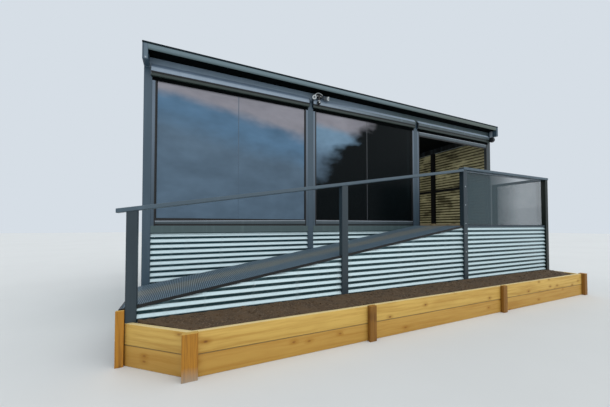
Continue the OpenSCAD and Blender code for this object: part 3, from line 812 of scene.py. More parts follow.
class CABIN_OT_stage(bpy.types.Operator):
    """Makes the pale studio floor, the soft light and the camera"""

    bl_idname = "cabin.stage"
    bl_label = "Stage"

    def execute(self, context):
        stage = settings("stage")
        self.floor(stage)
        self.backdrop(context.scene, stage)
        self.lamps(stage)
        self.camera(context.scene, stage)
        context.scene.view_settings.view_transform = "Standard"
        return {"FINISHED"}

    def floor(self, stage):
        mesh = bpy.data.meshes.new("studio_floor")
        reach, level = 60.0, -0.001
        corners = [(-reach, -reach), (reach, -reach), (reach, reach), (-reach, reach)]
        mesh.from_pydata([(x, y, level) for x, y in corners], [], [(0, 1, 2, 3)])

        def build(tree):
            smear = fit(mottle(place_in(tree), 0.4), 0.3, 0.7)
            shaded = [v * 0.97 for v in stage.floor]
            return dict(Base_Color=blend(smear, shaded, stage.floor), Roughness=0.9)
        mesh.materials.append(material("studio_floor", build))
        put("studio_floor", mesh)

    def backdrop(self, scene, stage):
        """Even light from all round, and a pale background for what the camera and gloss see."""
        world = bpy.data.worlds.new("studio")
        scene.world = world
        world.use_nodes = True
        tree = world.node_tree
        tree.nodes.clear()
        path = node(tree, "ShaderNodeLightPath").outputs
        camera, gloss, through = (Value(tree, path[f"Is {kind} Ray"])
                                  for kind in ("Camera", "Glossy", "Transmission"))
        seen = camera.math("MAXIMUM", gloss).math("MAXIMUM", through)
        even = value(tree, "ShaderNodeBackground",
                     {"Color": (0.93, 0.97, 1.0, 1.0), "Strength": stage.fill})
        pale = value(tree, "ShaderNodeBackground",
                     {"Color": (*stage.backdrop, 1.0), "Strength": 1.0})
        mixed = value(tree, "ShaderNodeMixShader", {0: seen, 1: even, 2: pale})
        node(tree, "ShaderNodeOutputWorld", {"Surface": mixed})

    def lamps(self, stage):
        lamp = bpy.data.lights.new("soft_key", "SUN")
        lamp.energy, lamp.angle = stage.key, math.radians(70)
        put("soft_key", lamp, turn=(math.radians(48), 0, math.radians(24)))
        lamp = bpy.data.lights.new("room_light", "AREA")
        lamp.energy, lamp.shape, lamp.size, lamp.size_y = stage.room, "RECTANGLE", 1.6, 1.4
        low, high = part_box("front_post_3")
        made = put("room_light", lamp, (low.x - 0.3, high.y + 0.7, 2.6),
                   (math.radians(90), 0, math.radians(-80)))
        made.visible_camera = False

    def camera(self, scene, stage):
        lens = bpy.data.cameras.new("camera")
        lens.sensor_width, lens.lens, lens.shift_y = 36.0, stage.lens, stage.rise
        lens.clip_end = 200.0
        scene.camera = put("camera", lens, stage.eye,
                           (math.radians(90) + stage.tilt, 0, -stage.turn))


class CABIN_OT_steelwork(bpy.types.Operator):
    """Paints the posts, beams, rails and frames, and rounds their edges"""

    bl_idname = "cabin.steelwork"
    bl_label = "Steelwork"

    steel = (  # finish, radius of the edges, nodes
        ("frame_paint", 0.005, "front_post_1", "front_post_2", "front_post_3", "rear_posts"),
        ("beam_paint", 0.004, "front_beam", "rear_beam"),
        ("right_post_paint", 0.005, "front_post_4"),
        ("outer_post_paint", 0.005, "outer_post_1", "outer_post_2", "outer_post_3"),
        ("corner_post_paint", 0.005, "outer_post_4", "end_post"),
        ("rail_paint", 0.005, "ramp_handrail", "landing_rails"),
        ("inner_frame_paint", 0.003, "wall_frames"),
        ("dark_steel", 0.003, "ramp_frame", "ramp_foot", "landing_frame"),
        ("band_paint", 0.003, "floor_frame"),
    )

    def execute(self, context):
        for finish, soft, *nodes in self.steel:
            for name in nodes:
                dress(name, coat(finish), soft)
        # Painted shadow: each side beam passes into the soffit's black on its face towards the room.
        for name, side, inner in (("left_beam", 1, -0.012), ("right_beam", 0, 0.012)):
            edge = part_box(name)[side].x
            dress(name, painted(name + "_paint", "beam", streaks=0.12, other="soffit",
                                start=edge + inner, end=edge + inner / 3), 0.004)
        self.wedges()
        return {"FINISHED"}

    def wedges(self):
        """Packing between the square tops of the ramp's posts and the sloping rail on them."""
        low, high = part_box("ramp_handrail")
        foot, head = (min(v.z for v in points_of("ramp_handrail") if abs(v.x - x) < 0.01)
                      for x in (low.x, high.x))
        shape = Shape()
        lap = 0.001
        for name in ("outer_post_1", "outer_post_2"):
            a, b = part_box(name)
            rings = []
            for x in (a.x + lap, b.x - lap):
                under = foot + (x - low.x) / (high.x - low.x) * (head - foot) + 2 * lap
                outline = oblong(a.y + lap, b.z - 0.006, b.y - lap, under)
                rings.append([(x, y, z) for y, z in outline])
            shape.loft(rings)
        piece("post_packings", shape, [coat("outer_post_paint")], "frame_paint")


def crest_height():
    """Height of one crest of the corrugated sheets, which all line up."""
    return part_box("landing_boards")[1].z - settings("sheets").crest


def corrugated(shape, place, long, low, high, depth, finish):
    """Adds one corrugated sheet. Place turns (along, out, up) into a point. Finish is that of
    the outer face, then that of the inner one."""
    sizes = settings("sheets")
    heights = spread(low, high, sizes.pitch / sizes.segments)
    phase = [math.tau * (z - crest_height()) / sizes.pitch for z in heights]
    outer = [(z, depth / 2 * (1 + math.cos(p)), -math.sin(p)) for z, p in zip(heights, phase)]
    outline = outer + [(z, out - sizes.gauge, -facing) for z, out, facing in reversed(outer)]
    finishes = [finish[0]] * (len(outer) - 1) + [finish[1]] * (len(outer) + 1)
    rings = []
    for along in spread(0.0, long, 0.35):
        dent = sizes.dent * min(along, long - along) / long
        rings.append([place(along, out + dent * noise.noise((along * 1.3, z * 1.7, low)), z)
                      for z, out, facing in outline])
    shape.loft(rings, finishes, flank=[facing for z, out, facing in outline] * len(rings))


def screw_heads(shape, place, alongs, low, high, depth):
    """Adds washer-head screws on every fourth crest of a corrugated sheet, in upright rows."""
    pitch, crest = settings("sheets").pitch, crest_height()
    first = math.ceil((low + pitch - crest) / pitch)
    last = math.floor((high - pitch / 2 - crest) / pitch)
    profile = [(-0.001, 0.0085), (0.001, 0.0085), (0.0015, 0.0055), (0.006, 0.005), (0.007, 0.002)]
    for along in alongs:
        for k in range(last, first - 1, -4):
            shape.turned(profile, lambda out, b, c, along=along, up=crest + k * pitch:
                         place(along + b, depth + out, up + c), 8)


def sheeting(names, node_name, slot, runs, low, high, depth, finishes, rows):
    """Corrugated sheets on runs of (place, long), and their screws, as two pieces. Rows gives the
    places of the rows of screws along a run of some length."""
    shape, screws = Shape(), Shape()
    for place, long in runs:
        corrugated(shape, place, long, low, high, depth, (0, len(finishes) - 1))
        screw_heads(screws, place, rows(long), low, high, depth)
    made = piece(names[0], shape, finishes, slot, node_name, sharp=50)
    return made, piece(names[1], screws, [coat("plated_screw")], slot)


def side_sheeting(side, kind, name, slot, finishes, rows):
    """The one sheet on the left, right or rear side of the cabin."""
    node_name = f"{side}_{kind}"
    low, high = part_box(node_name)
    place = {"left": lambda a, o, z: (high.x - o, low.y + a, z),
             "right": lambda a, o, z: (low.x + o, low.y + a, z),
             "rear": lambda a, o, z: (low.x + a, low.y + o, z)}[side]
    deep, long = sorted((high.x - low.x, high.y - low.y))
    sheeting((f"{node_name}_sheet", f"{node_name}_{name}"), node_name, slot, [(place, long)],
             low.z, high.z, deep, finishes, rows)


class CABIN_OT_skirts(bpy.types.Operator):
    """Makes the corrugated skirts below the floor, the ramp and the landing, with their screws"""

    bl_idname = "cabin.skirts"
    bl_label = "Skirts"

    def execute(self, context):
        low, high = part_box("front_skirt")
        self.sheets("front_skirt", self.runs(bays(), high.y), low.z, high.z, high.y - low.y, zinc())
        for side in ("left", "right", "rear"):
            side_sheeting(side, "skirt", "sheet_screws", "galvanised_sheet", [zinc()], self.rows)
        self.ramp()
        self.landing()
        return {"FINISHED"}

    def rows(self, long):
        return [0.05, long / 2, long - 0.05]

    def runs(self, openings, face):
        return [(lambda a, o, z, x=left: (x + a, face - o, z), right - left)
                for left, right in openings]

    def sheets(self, node_name, runs, low, high, depth, finish):
        name = node_name.removesuffix("s") + "_sheets"
        return sheeting((name, name + "_screws"), node_name, "galvanised_sheet", runs, low, high,
                        depth, [finish], self.rows)

    def ramp(self):
        low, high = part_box("ramp_skirt")
        foot_x, foot_z, rise = ramp_line()
        made, fixings = self.sheets("ramp_skirt", self.runs(bays("outer_post")[:2], high.y), low.z,
                                    high.z + 0.05, high.y - low.y, zinc_outside())
        top = (foot_x, 0.0, foot_z - settings("ramp").thickness)
        cut_above(made, top, (-rise, 0.0, 1.0))
        self.drop_above(fixings, top, rise)

    def drop_above(self, made, top, rise):
        """Takes out the screws that would stand above a sloping edge."""
        margin = 0.02
        with editing(made.data) as solid:
            stray = [v for v in solid.verts
                     if v.co.z > top[2] + (v.co.x - top[0]) * rise - margin]
            reach = set(stray)
            while stray:
                near = stray.pop()
                for other in (edge.other_vert(near) for edge in near.link_edges):
                    if other not in reach:
                        reach.add(other)
                        stray.append(other)
            bmesh.ops.delete(solid, geom=list(reach), context="VERTS")

    def landing(self):
        low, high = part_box("landing_skirts")
        left, right = bays("outer_post")[2]
        end_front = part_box("end_post")[0].y
        corner_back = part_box("outer_post_4")[1].y
        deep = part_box("ramp_skirt")[1].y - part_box("ramp_skirt")[0].y
        runs = self.runs([(left, right)], low.y + deep)
        runs.append((lambda a, o, z: (high.x - deep + o, corner_back + a, z),
                     end_front - corner_back))
        self.sheets("landing_skirts", runs, low.z, high.z, deep, zinc_outside())


class CABIN_OT_walls(bpy.types.Operator):
    """Makes the corrugated sheets of the end walls and the rear wall"""

    bl_idname = "cabin.walls"
    bl_label = "Walls"

    def execute(self, context):
        inside = zinc("zinc_inside", "inner", "inner_shade", 0.3, 0.4, painted_light_patches=True)
        for side in ("left", "right", "rear"):
            side_sheeting(side, "wall", "screws", "wall_sheet", [zinc(), inside],
                          lambda long: spread(0.06, long - 0.06, 1.5))
        return {"FINISHED"}


class CABIN_OT_roof(bpy.types.Operator):
    """Makes the ribbed roof sheet, the folded fascias and cappings, and the barges' end plates"""

    bl_idname = "cabin.roof"
    bl_label = "Roof"

    def execute(self, context):
        self.panel()
        for name in ("front_fascia", "rear_fascia"):
            self.fascia(name)
        self.barges()
        return {"FINISHED"}

    def panel(self):
        """Trapezoidal ribs on top, and a narrow groove under every fourth of them."""
        sizes = settings("sheets")
        low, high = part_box("roof_panel")
        pan = high.z - sizes.roof_rib
        foot, crest, groove = 0.035, 0.0175, 0.004
        count = round((high.x - low.x) / sizes.roof_pitch)
        pitch = (high.x - low.x) / count
        top, under = [(high.x, pan)], []
        for i in range(count - 1, -1, -1):
            middle = low.x + (i + 0.5) * pitch
            top += [(middle + foot, pan), (middle + crest, high.z), (middle - crest, high.z),
                    (middle - foot, pan)]
        top.append((low.x, pan))
        for i in range(1, count // 4):
            x = low.x + i * pitch * 4
            under += [(x - groove, low.z), (x - groove, low.z + groove),
                      (x + groove, low.z + groove), (x + groove, low.z)]
        outline = top + [(low.x, low.z)] + under + [(high.x, low.z)]
        finish = [0] * len(top) + [1] * (len(outline) - len(top))
        shape = Shape()
        shape.loft([[(x, y, z) for x, z in outline] for y in (low.y, high.y)], finish)
        piece("roof_sheet_and_soffit", shape, [coat("roof_sheet"), coat("soffit")], "roof_sheet",
              "roof_panel")

    def fascia(self, name):
        low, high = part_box(name)
        face, back, inward = ((low.y, high.y, 1) if name.startswith("front")
                              else (high.y, low.y, -1))
        lip, drip, cap = 0.022, 0.034, high.z - 0.026
        outline = [(face + inward * 0.008, low.z), (face + inward * 0.003, low.z + 0.014),
                   (face, low.z + drip), (face, cap), (back, cap), (back, low.z + 0.020),
                   (back + inward * lip, low.z + 0.014), (back + inward * lip, low.z)]
        shape = Shape()
        shape.prism(outline, low.x, high.x)
        # The fascia rises from painted shade at its foot to its full colour.
        finish = coat("fascia_paint", start=low.z - 0.012, end=low.z + drip)
        piece(name + "_flashing", shape, [finish], "fascia_paint", name)
        edge, fold, lap, thick = face - inward * 0.002, 0.060, 0.004, 0.003
        outline = [(edge, cap), (edge, high.z + 0.001), (edge + inward * fold, high.z + thick),
                   (edge + inward * fold, high.z - thick), (edge + inward * lap, high.z - thick),
                   (edge + inward * lap, cap)]
        dark = Shape()
        dark.prism(outline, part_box("left_barge")[0].x - 0.002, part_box("right_barge")[1].x + 0.002)
        piece(name + "_capping", dark, [coat("capping")], "fascia_paint")

    def barges(self):
        """End plates with a small strap on each, and a capping along the top."""
        plates, cover = Shape(), Shape()
        for finish, name in enumerate(("left_barge", "right_barge")):
            dress(name, coat("frame_paint"), 0.004)
            low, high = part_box(name)
            for y in (low.y - 0.003, high.y):
                plates.box((low.x + 0.022, y, low.z + 0.010),
                           (high.x - 0.003, y + 0.003, high.z - 0.028), finish)
                plates.box((low.x + 0.030, y - 0.001, low.z + 0.012),
                           (low.x + 0.048, y + 0.004, low.z + 0.034), 2 - finish)
            cover.box((low.x - 0.002, low.y + 0.058, high.z),
                      (high.x + 0.002, high.y - 0.058, high.z + 0.002))
        piece("barge_end_plates", plates,
              [coat("barge_plate"), coat("frame_paint"), coat("strap_coat")], "frame_paint")
        piece("barge_cappings", cover, [coat("capping")], "frame_paint")


class CABIN_OT_hoods(bpy.types.Operator):
    """Makes the folded hoods of the three blinds, with their end caps"""

    bl_idname = "cabin.hoods"
    bl_label = "Blind hoods"

    def execute(self, context):
        for number in (1, 2, 3):
            self.hood(number)
        return {"FINISHED"}

    def section(self, name):
        """Cover's section from its top down its front to its underside: outer and inner line."""
        sizes = settings("blinds")
        low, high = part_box(name)
        back, front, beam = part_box("front_post_1")[0].y, low.y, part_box("front_beam")[0].z
        under = min(v.z for v in points_of(name) if v.y < back - 0.01)
        face = beam - sizes.face
        lip = face - sizes.groove - sizes.bend
        outer = [(back, high.z), (front, beam), (front, face), (front + 0.006, face - sizes.bend),
                 (front + 0.008, lip + 0.007), (front + 0.002, lip),
                 (front + 0.004, lip - sizes.lip), (front + 0.008, under + 0.002), (back, under)]
        metal = sizes.metal
        inner = [(back, high.z - 2 * metal), (front + metal, beam - metal / 2),
                 *[(y + metal, z) for y, z in outer[2:7]], (front + 0.011, under + metal),
                 (back, under + metal)]
        return outer, inner

    def hood(self, number):
        name = f"blind_hood_{number}"
        low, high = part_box(name)
        outer, inner = self.section(name)
        slope, face, dark, lip, steel, black = range(6)
        # Painted shade: the rounded edge and groove below the face take the black rubber finish, and
        # the lip and underside the darker lip finish; the hidden inside is black as well.
        finish = [slope, face, dark, dark] + [lip] * 5 + [dark] * 9
        shape = Shape()
        shape.prism(outer + inner[::-1], low.x, high.x, finish)
        self.box(shape, number, low, high, inner[-1], steel, black)
        finishes = [coat(n) for n in ("slope_coat", "hood_coat", "rubber", "lip_coat",
                                      "dark_steel")]
        piece(name + "_cover", shape, [*finishes, shadow_black()], "blind_metal", name)
        caps = Shape()
        # The end caps are black as painted shade; the first hood's left cap is pale as a painted
        # highlight.
        inset, thin = 0.0005, 0.005
        proud = 0.020 if number == 3 else thin
        caps.prism(outer, low.x + inset, low.x + inset + proud, 1 if number == 1 else 0)
        caps.prism(outer, high.x - inset - thin, high.x - inset)
        piece(name + "_end_caps", caps, [shadow_black(), coat("strap_coat")], "blind_metal")

    def box(self, shape, number, low, high, foot, steel, black):
        """Open box behind the cover: an apron painted black as shade, a top plate, a rear wall and
        two ends.
        """
        metal = settings("blinds").metal
        back, under = foot
        left, right = bays()[number - 1]
        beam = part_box("front_beam")[0].z - 0.0005
        shape.prism(oblong(back, low.z, back + metal, under), left, right, black)
        shape.prism([(back, beam), (back, beam - metal), (high.y - metal, beam - metal),
                     (high.y - metal, low.z), (high.y, low.z), (high.y, beam)], left, right, steel)
        for x in (left, right - metal):
            shape.box((x, back + metal, low.z), (x + metal, high.y - metal, beam - metal), steel)


class CABIN_OT_sheets(bpy.types.Operator):
    """Makes the clear sheets of the three blinds, rippled, with a dark band down each side"""

    bl_idname = "cabin.sheets"
    bl_label = "Clear sheets"

    # The haze in these looks is painted reflection, and the dark is painted shade of the room.
    looks = (  # level and slant of the haze, cloud size, where the dark starts, cover
        (3.04, 0.17, 0.6, -9.0, 0.96), (2.98, 0.10, 0.8, 3.33, 0.96), (2.6, 0.0, 0.7, 3.33, 0.8),
    )

    def execute(self, context):
        for number, look in enumerate(self.looks, 1):
            name = f"blind_curtain_{number}"
            made = self.sheet(name, clear_sheet(number, *look), number)
        self.seam(1, 0.499, coat("seam_dark"))
        self.seam(2, 0.491, coat("seam_pale"))
        return {"FINISHED"}

    def ripple(self, number, x, z, low, high):
        """How far a sheet swells out at a point. The second is creased beside its left track."""
        side = min(x - low.x, high.x - x)
        hold = min(1.0, side / 0.12) * min(1.0, (z - low.z) / 0.05, (high.z - z) / 0.10)
        swell = (noise.noise((x * 0.9, number * 7.3, z * 0.6))
                 + 0.4 * noise.noise((x * 3.1, number, z * 1.4)))
        if number == 2:
            near = math.exp(-((x - low.x - 0.10) / 0.09) ** 2)
            swell += near * 1.8 * noise.noise((x * 9.0, 3.0, z * 5.0))
        return settings("blinds").ripple * hold * swell

    def sheet(self, name, finish, number):
        sizes = settings("blinds")
        low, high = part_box(name)
        middle = (low.y + high.y) / 2
        left, right = bays()[number - 1]
        inset = sizes.track + sizes.edge_band
        columns = [low.x] + spread(left + inset, right - inset, 0.03) + [high.x]
        rows = spread(low.z, high.z, 0.04)
        wide, tall = len(columns), len(rows)
        half = wide * tall
        points = [(x, middle + side * sizes.gauge / 2 + self.ripple(number, x, z, low, high), z)
                  for side in (-1, 1) for z in rows for x in columns]
        faces, finishes = [], []
        for r in range(tall - 1):
            for c in range(wide - 1):
                a = r * wide + c
                faces += [(a, a + 1, a + wide + 1, a + wide),
                          (half + a, half + a + wide, half + a + wide + 1, half + a + 1)]
                finishes += [1 if c in (0, wide - 2) else 0] * 2
        rim = [*range(wide), *range(2 * wide - 1, half, wide),
               *range(half - 2, half - wide - 1, -1), *range(half - 2 * wide, 0, -wide)]
        for a, b in zip(rim, rim[1:] + rim[:1]):
            faces.append((a, half + a, half + b, b))
            finishes.append(1)
        shape = Shape()
        shape.add(points, faces, finishes)
        return piece(name + "_sheet", shape, [finish, coat("rubber")], "clear_sheet", name,
                     sharp=60)

    def seam(self, number, part, finish):
        """Welded upright seam of a sheet, at a part of its width."""
        name = f"blind_curtain_{number}"
        low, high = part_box(name)
        x = low.x + (high.x - low.x) * part
        half, proud = 0.005, 0.0012
        rings = []
        for z in spread(low.z, high.z - 0.06, 0.06):
            y = (low.y + high.y) / 2 + self.ripple(number, x, z, low, high)
            rings.append([(a, b, z) for a, b in oblong(x - half, y - proud, x + half, y + proud)])
        shape = Shape()
        shape.loft(rings)
        piece(name + "_seam", shape, [finish], "clear_sheet")


class CABIN_OT_tracks(bpy.types.Operator):
    """Makes the side tracks with their brush seals, and the bottom bars with their rubber skirts"""

    bl_idname = "cabin.tracks"
    bl_label = "Tracks and bars"

    def execute(self, context):
        dress("blind_tracks", coat("track_coat"), 0.002)
        self.brushes()
        self.bars()
        return {"FINISHED"}

    def brushes(self):
        low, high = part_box("blind_tracks")
        width, cover, brush = settings("blinds").track, 0.007, 0.014
        shape = Shape()
        for left, right in bays():
            for inner in (left + width - cover, right - width + cover - brush):
                for y in (low.y - 0.003, high.y - 0.005):
                    shape.box((inner, y, low.z + 0.001), (inner + brush, y + 0.008, high.z - 0.001))
        piece("blind_brush_seals", shape, [coat("rubber")], "blind_metal")

    def bars(self):
        """Rounded bars with a pale strip as painted highlight, a seal over it and a seal below. The
        first strip sags.
        """
        low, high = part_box("blind_bottom_bars")
        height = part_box("blind_curtain_1")[0].z - low.z
        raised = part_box("blind_curtain_3")[0].z - height
        outline = rounded(high.y - low.y, height, 0.005)
        bars, skirts, lines = Shape(), Shape(), Shape()
        gap = settings("blinds").track + 0.0005
        front = low.y
        for number, (left, right) in enumerate(bays(), 1):
            foot = low.z if number < 3 else raised
            lid = foot + height
            x1, x2 = left + gap, right - gap
            bars.prism([(front + y, foot + z) for y, z in outline], x1, x2)
            sag = 0.026 if number == 1 else 0.0
            highlight_strip, seal = [], []
            for x, drop in ((x1 + 0.002, sag), (x2 - 0.002, 0.0)):
                top = lid - 0.004 - drop
                highlight_strip.append([(x, y, z) for y, z in
                              oblong(front - 0.002, top - 0.011, front + 0.004, top)])
                seal.append([(x, y, z) for y, z in
                             oblong(front - 0.001, top + 0.001, front + 0.003, lid + 0.008)])
            lines.loft(highlight_strip)
            skirts.loft(seal)
            skirts.box((x1 + 0.01, front + 0.004, foot - 0.026),
                       (x2 - 0.01, front + 0.012, foot + 0.006))
        piece("bottom_bar_extrusions", bars, [coat("bar_coat")], "blind_metal", "blind_bottom_bars")
        piece("bottom_bar_ridges", lines, [coat("strap_coat")], "blind_metal")
        piece("bottom_bar_seals", skirts, [coat("rubber")], "blind_metal")


class CABIN_OT_gear(bpy.types.Operator):
    """Makes the round gear housing at the end of the last hood, with its hanger"""

    bl_idname = "cabin.gear"
    bl_label = "Gear housing"

    def execute(self, context):
        low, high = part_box("blind_gear")
        radius, long = (high.y - low.y) / 2, high.x - low.x
        middle = Vector((low.x, low.y + radius, low.z + radius))
        profile = [(0.0, radius - 0.004), (0.004, radius), (0.030, radius), (0.031, radius - 0.002),
                   (0.034, radius - 0.002), (0.035, radius), (long - 0.022, radius),
                   (long - 0.010, radius - 0.006), (long - 0.002, radius - 0.020),
                   (long, radius - 0.034)]
        housing, hanger, bolts = Shape(), Shape(), Shape()
        housing.turned(profile, lambda a, b, c: (middle.x + a, middle.y + b, middle.z + c), 40)
        piece("gear_housing", housing, [coat("dark_steel")], "dark_steel", "blind_gear")
        plate, half, left = 0.010, 0.029, low.x + 0.001
        hanger.box((left, middle.y - half, middle.z + radius * 0.8),
                   (left + plate, middle.y + half, high.z))
        piece("gear_hanger", hanger, [coat("strap_coat")], "dark_steel")
        for y in (-0.016, 0.016):
            bolts.turned([(-0.001, 0.007), (0.004, 0.007), (0.005, 0.004)],
                         lambda a, b, c: (left - a, middle.y + y + b, high.z - 0.030 + c), 6)
        piece("gear_hanger_bolts", bolts, [coat("plated_screw")], "dark_steel")
        return {"FINISHED"}


class CABIN_OT_security_light(bpy.types.Operator):
    """Makes the twin spot lamps, their mount and the movement sensor"""

    bl_idname = "cabin.security_light"
    bl_label = "Security light"

    def execute(self, context):
        low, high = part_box("security_light")
        middle = Vector(((low.x + high.x) / 2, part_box("front_beam")[0].y, high.z - 0.060))
        body, rims, glass, dark = Shape(), Shape(), Shape(), Shape()
        self.lamp(body, rims, glass, middle + Vector((-0.088, -0.038, -0.020)), -30)
        self.lamp(body, rims, glass, middle + Vector((0.088, -0.038, 0.008)), 48)
        self.mount(rims, dark, middle)
        piece("spot_lamp_bodies", body, [coat("lamp_grey")], "lamp_plastic", "security_light")
        piece("spot_lamp_rims", rims, [coat("lamp_rim")], "lamp_plastic")
        piece("spot_lamp_lenses", glass, [coat("lamp_lens")], "lamp_plastic")
        piece("movement_sensor", dark, [coat("lamp_black")], "lamp_plastic")
        return {"FINISHED"}

    def lamp(self, body, rims, glass, base, degrees):
        """One lamp that looks out and down from base, turned by some degrees to the right."""
        turn = (Matrix.Rotation(math.radians(degrees), 3, "Z")
                @ Matrix.Rotation(math.radians(12), 3, "X"))

        def place(a, b, c):
            return tuple(base + turn @ Vector((b, -a, c)))
        fins = [(0.000, 0.016), (0.008, 0.022)]
        for k in range(4):
            fins += [(a + k * 0.008, r) for a, r in ((0.014, 0.031), (0.018, 0.031), (0.019, 0.026),
                                                     (0.021, 0.026))]
        body.turned(fins + [(0.050, 0.032), (0.074, 0.035)], place, 28)
        rims.turned([(0.074, 0.0345), (0.074, 0.036), (0.090, 0.036), (0.092, 0.034),
                     (0.092, 0.022), (0.086, 0.018)], place, 32)
        glass.turned([(0.0865, 0.0182), (0.0885, 0.017), (0.0895, 0.008)], place, 24)

    def mount(self, rims, dark, middle):
        """Arched box on the beam between the lamps, with the arm and the sensor below it."""
        half, deep, high, spring, inset = 0.080, 0.074, 0.068, 0.012, 0.86
        x, y, z = middle - Vector((0.022, 0.0, 0.0))
        arch = [(half * math.cos(t), spring + (high - spring) * math.sin(t))
                for t in map(math.radians, range(0, 181, 15))]
        outline = [(half, 0.0), *arch, (-half, 0.0)]
        dark.loft([[(x + a * inset, y - out, z + 0.001 + b * inset) for a, b in outline]
                   for out in (0.0, deep)])
        hoop = arch[2:] + [(a * 0.84, b * 0.84) for a, b in arch[:1:-1]]
        rims.loft([[(x + a, y - out, z + 0.001 + b) for a, b in hoop]
                   for out in (0.004, deep + 0.004)])
        for side in (-1, 1):
            dark.turned([(0.0, 0.016), (0.030, 0.016), (0.034, 0.010)],
                        lambda a, b, c: (x + side * (0.055 + a), y - 0.050 + b, z + 0.022 + c), 14)
            rims.box((x + side * 0.030 - 0.006, y - deep - 0.001, z + 0.006),
                     (x + side * 0.030 + 0.006, y - deep + 0.004, z + 0.018))
        arm, drop, front = 0.012, 0.100, y - 0.076
        dark.box((x - arm, front, z - drop), (x + arm, front + 2 * arm, z + 0.004))
        dome = [(0.031 * math.sin(t), 0.031 * math.cos(t))
                for t in map(math.radians, range(-80, 81, 20))]
        y, z = front + arm, z - drop
        dark.turned(dome, lambda a, b, c: (x + b, y + c, z - a), 20)
        rims.turned([(0.022, 0.024), (0.030, 0.026), (0.034, 0.020)],
                    lambda a, b, c: (x + b, y + c, z + a), 20)
        rims.turned([(0.026, 0.012), (0.031, 0.010), (0.032, 0.004)],
                    lambda a, b, c: (x + b, y - a, z + c), 14)


class CABIN_OT_walking_surface(bpy.types.Operator):
    """Makes the ribbed mesh of the ramp and the landing, and its edge strip"""

    bl_idname = "cabin.walking_surface"
    bl_label = "Walking surface"

    def execute(self, context):
        self.ramp()
        self.landing()
        return {"FINISHED"}

    def notches(self, y_low, y_high):
        """Room that the posts take in the surface: (left, right, front, back)."""
        outer = [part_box(f"outer_post_{i}") for i in range(1, 5)]
        low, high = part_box("end_post")
        return [(a.x, b.x, y_low, b.y) for a, b in outer] + [(low.x, high.x, low.y, y_high)]

    def clear_run(self, x1, x2, y_low, y_high):
        """The stretch of Y from front to back that no post takes at this place along the front."""
        start, end = y_low, y_high
        for left, right, front, back in self.notches(y_low, y_high):
            if x2 > left and x1 < right:
                if front <= y_low:
                    start = max(start, back)
                if back >= y_high:
                    end = min(end, front)
        return start, end

    def surface(self, shape, x_low, x_high, y_low, y_high, level, thickness):
        """Base mat with ribs across and thin bars along. Level gives the height at a place."""
        sizes = settings("ramp")
        edges = [x for notch in self.notches(y_low, y_high) for x in notch[:2]
                 if x_low < x < x_high]
        stops = sorted({x_low, x_high, *edges})
        stretches = [(x1, x2, *self.clear_run(x1 + 0.001, x2 - 0.001, y_low, y_high))
                     for x1, x2 in zip(stops, stops[1:])]
        base = sizes.rib_height
        for x1, x2, start, end in stretches:
            self.bar(shape, x1, x2, start, end, level, base, thickness, 0.0)
        count = math.floor((x_high - x_low) / sizes.rib_pitch)
        for i in range(count):
            x = x_low + (i + 0.5) * (x_high - x_low) / count
            x1, x2 = x - sizes.rib_width / 2, x + sizes.rib_width / 2
            start, end = self.clear_run(x1, x2, y_low, y_high)
            self.bar(shape, x1, x2, start, end, level, 0.0, base + 0.001, 1.0)
        rows = math.floor((y_high - y_low) / sizes.bar_pitch)
        half, apart = 0.0025, 0.003
        for j in range(1, rows):
            y = y_low + j * (y_high - y_low) / rows
            for x1, x2, start, end in stretches:
                if start < y - apart and y + apart < end:
                    self.bar(shape, x1, x2, y - half, y + half, level, half, base + 0.001, 0.7)

    def bar(self, shape, x1, x2, y1, y2, level, top, bottom, rib):
        """Straight bar that follows the surface, from its top to its bottom depth."""
        # Painted shade: the rib value falls towards a bar's foot, darkening the mesh down into its
        # hollows.
        shape.loft([[(x, y, level(x) - down) for y, down in oblong(y1, bottom, y2, top)]
                    for x in (x1, x2)], rib=[rib * 0.35, rib * 0.35, rib, rib] * 2)

    def ramp(self):
        sizes = settings("ramp")
        low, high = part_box("ramp_deck")
        foot_x, foot_z, rise = ramp_line()

        def level(x):
            return foot_z + (x - foot_x) * rise
        shape = Shape()
        self.surface(shape, low.x, high.x, low.y + sizes.nosing, high.y - 0.004, level,
                     sizes.thickness)
        piece("ramp_mesh", shape, [mesh_finish()], "mesh_steel", "ramp_deck")
        self.edge_strip(low, high, level)

    def edge_strip(self, low, high, level):
        """Thin angle along the outer edge and round the ramp's foot."""
        sizes = settings("ramp")
        nosing, thick, proud = sizes.nosing, sizes.thickness, 0.001
        shape = Shape()
        posts = [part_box(f"outer_post_{i}") for i in range(1, 4)]
        starts = [low.x, posts[0][1].x, posts[1][1].x]
        outline = [(0.0, -thick), (nosing, -0.012), (nosing, proud), (-proud, proud)]
        for start, post in zip(starts, posts):
            shape.loft([[(x, low.y + y, level(x) + z) for y, z in outline]
                        for x in (start, post[0].x)])
        foot = oblong(low.x - 0.003, thick, low.x + 0.010, -proud)
        shape.loft([[(x, y, level(x) - down) for x, down in foot] for y in (low.y, high.y - 0.002)])
        piece("ramp_edge_strip", shape, [coat("rubber")], "mesh_steel")

    def landing(self):
        low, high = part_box("landing_boards")
        shape = Shape()
        self.surface(shape, low.x, high.x, low.y, high.y - 0.004, lambda x: high.z, high.z - low.z)
        piece("landing_mesh", shape, [mesh_finish()], "mesh_steel", "landing_boards")


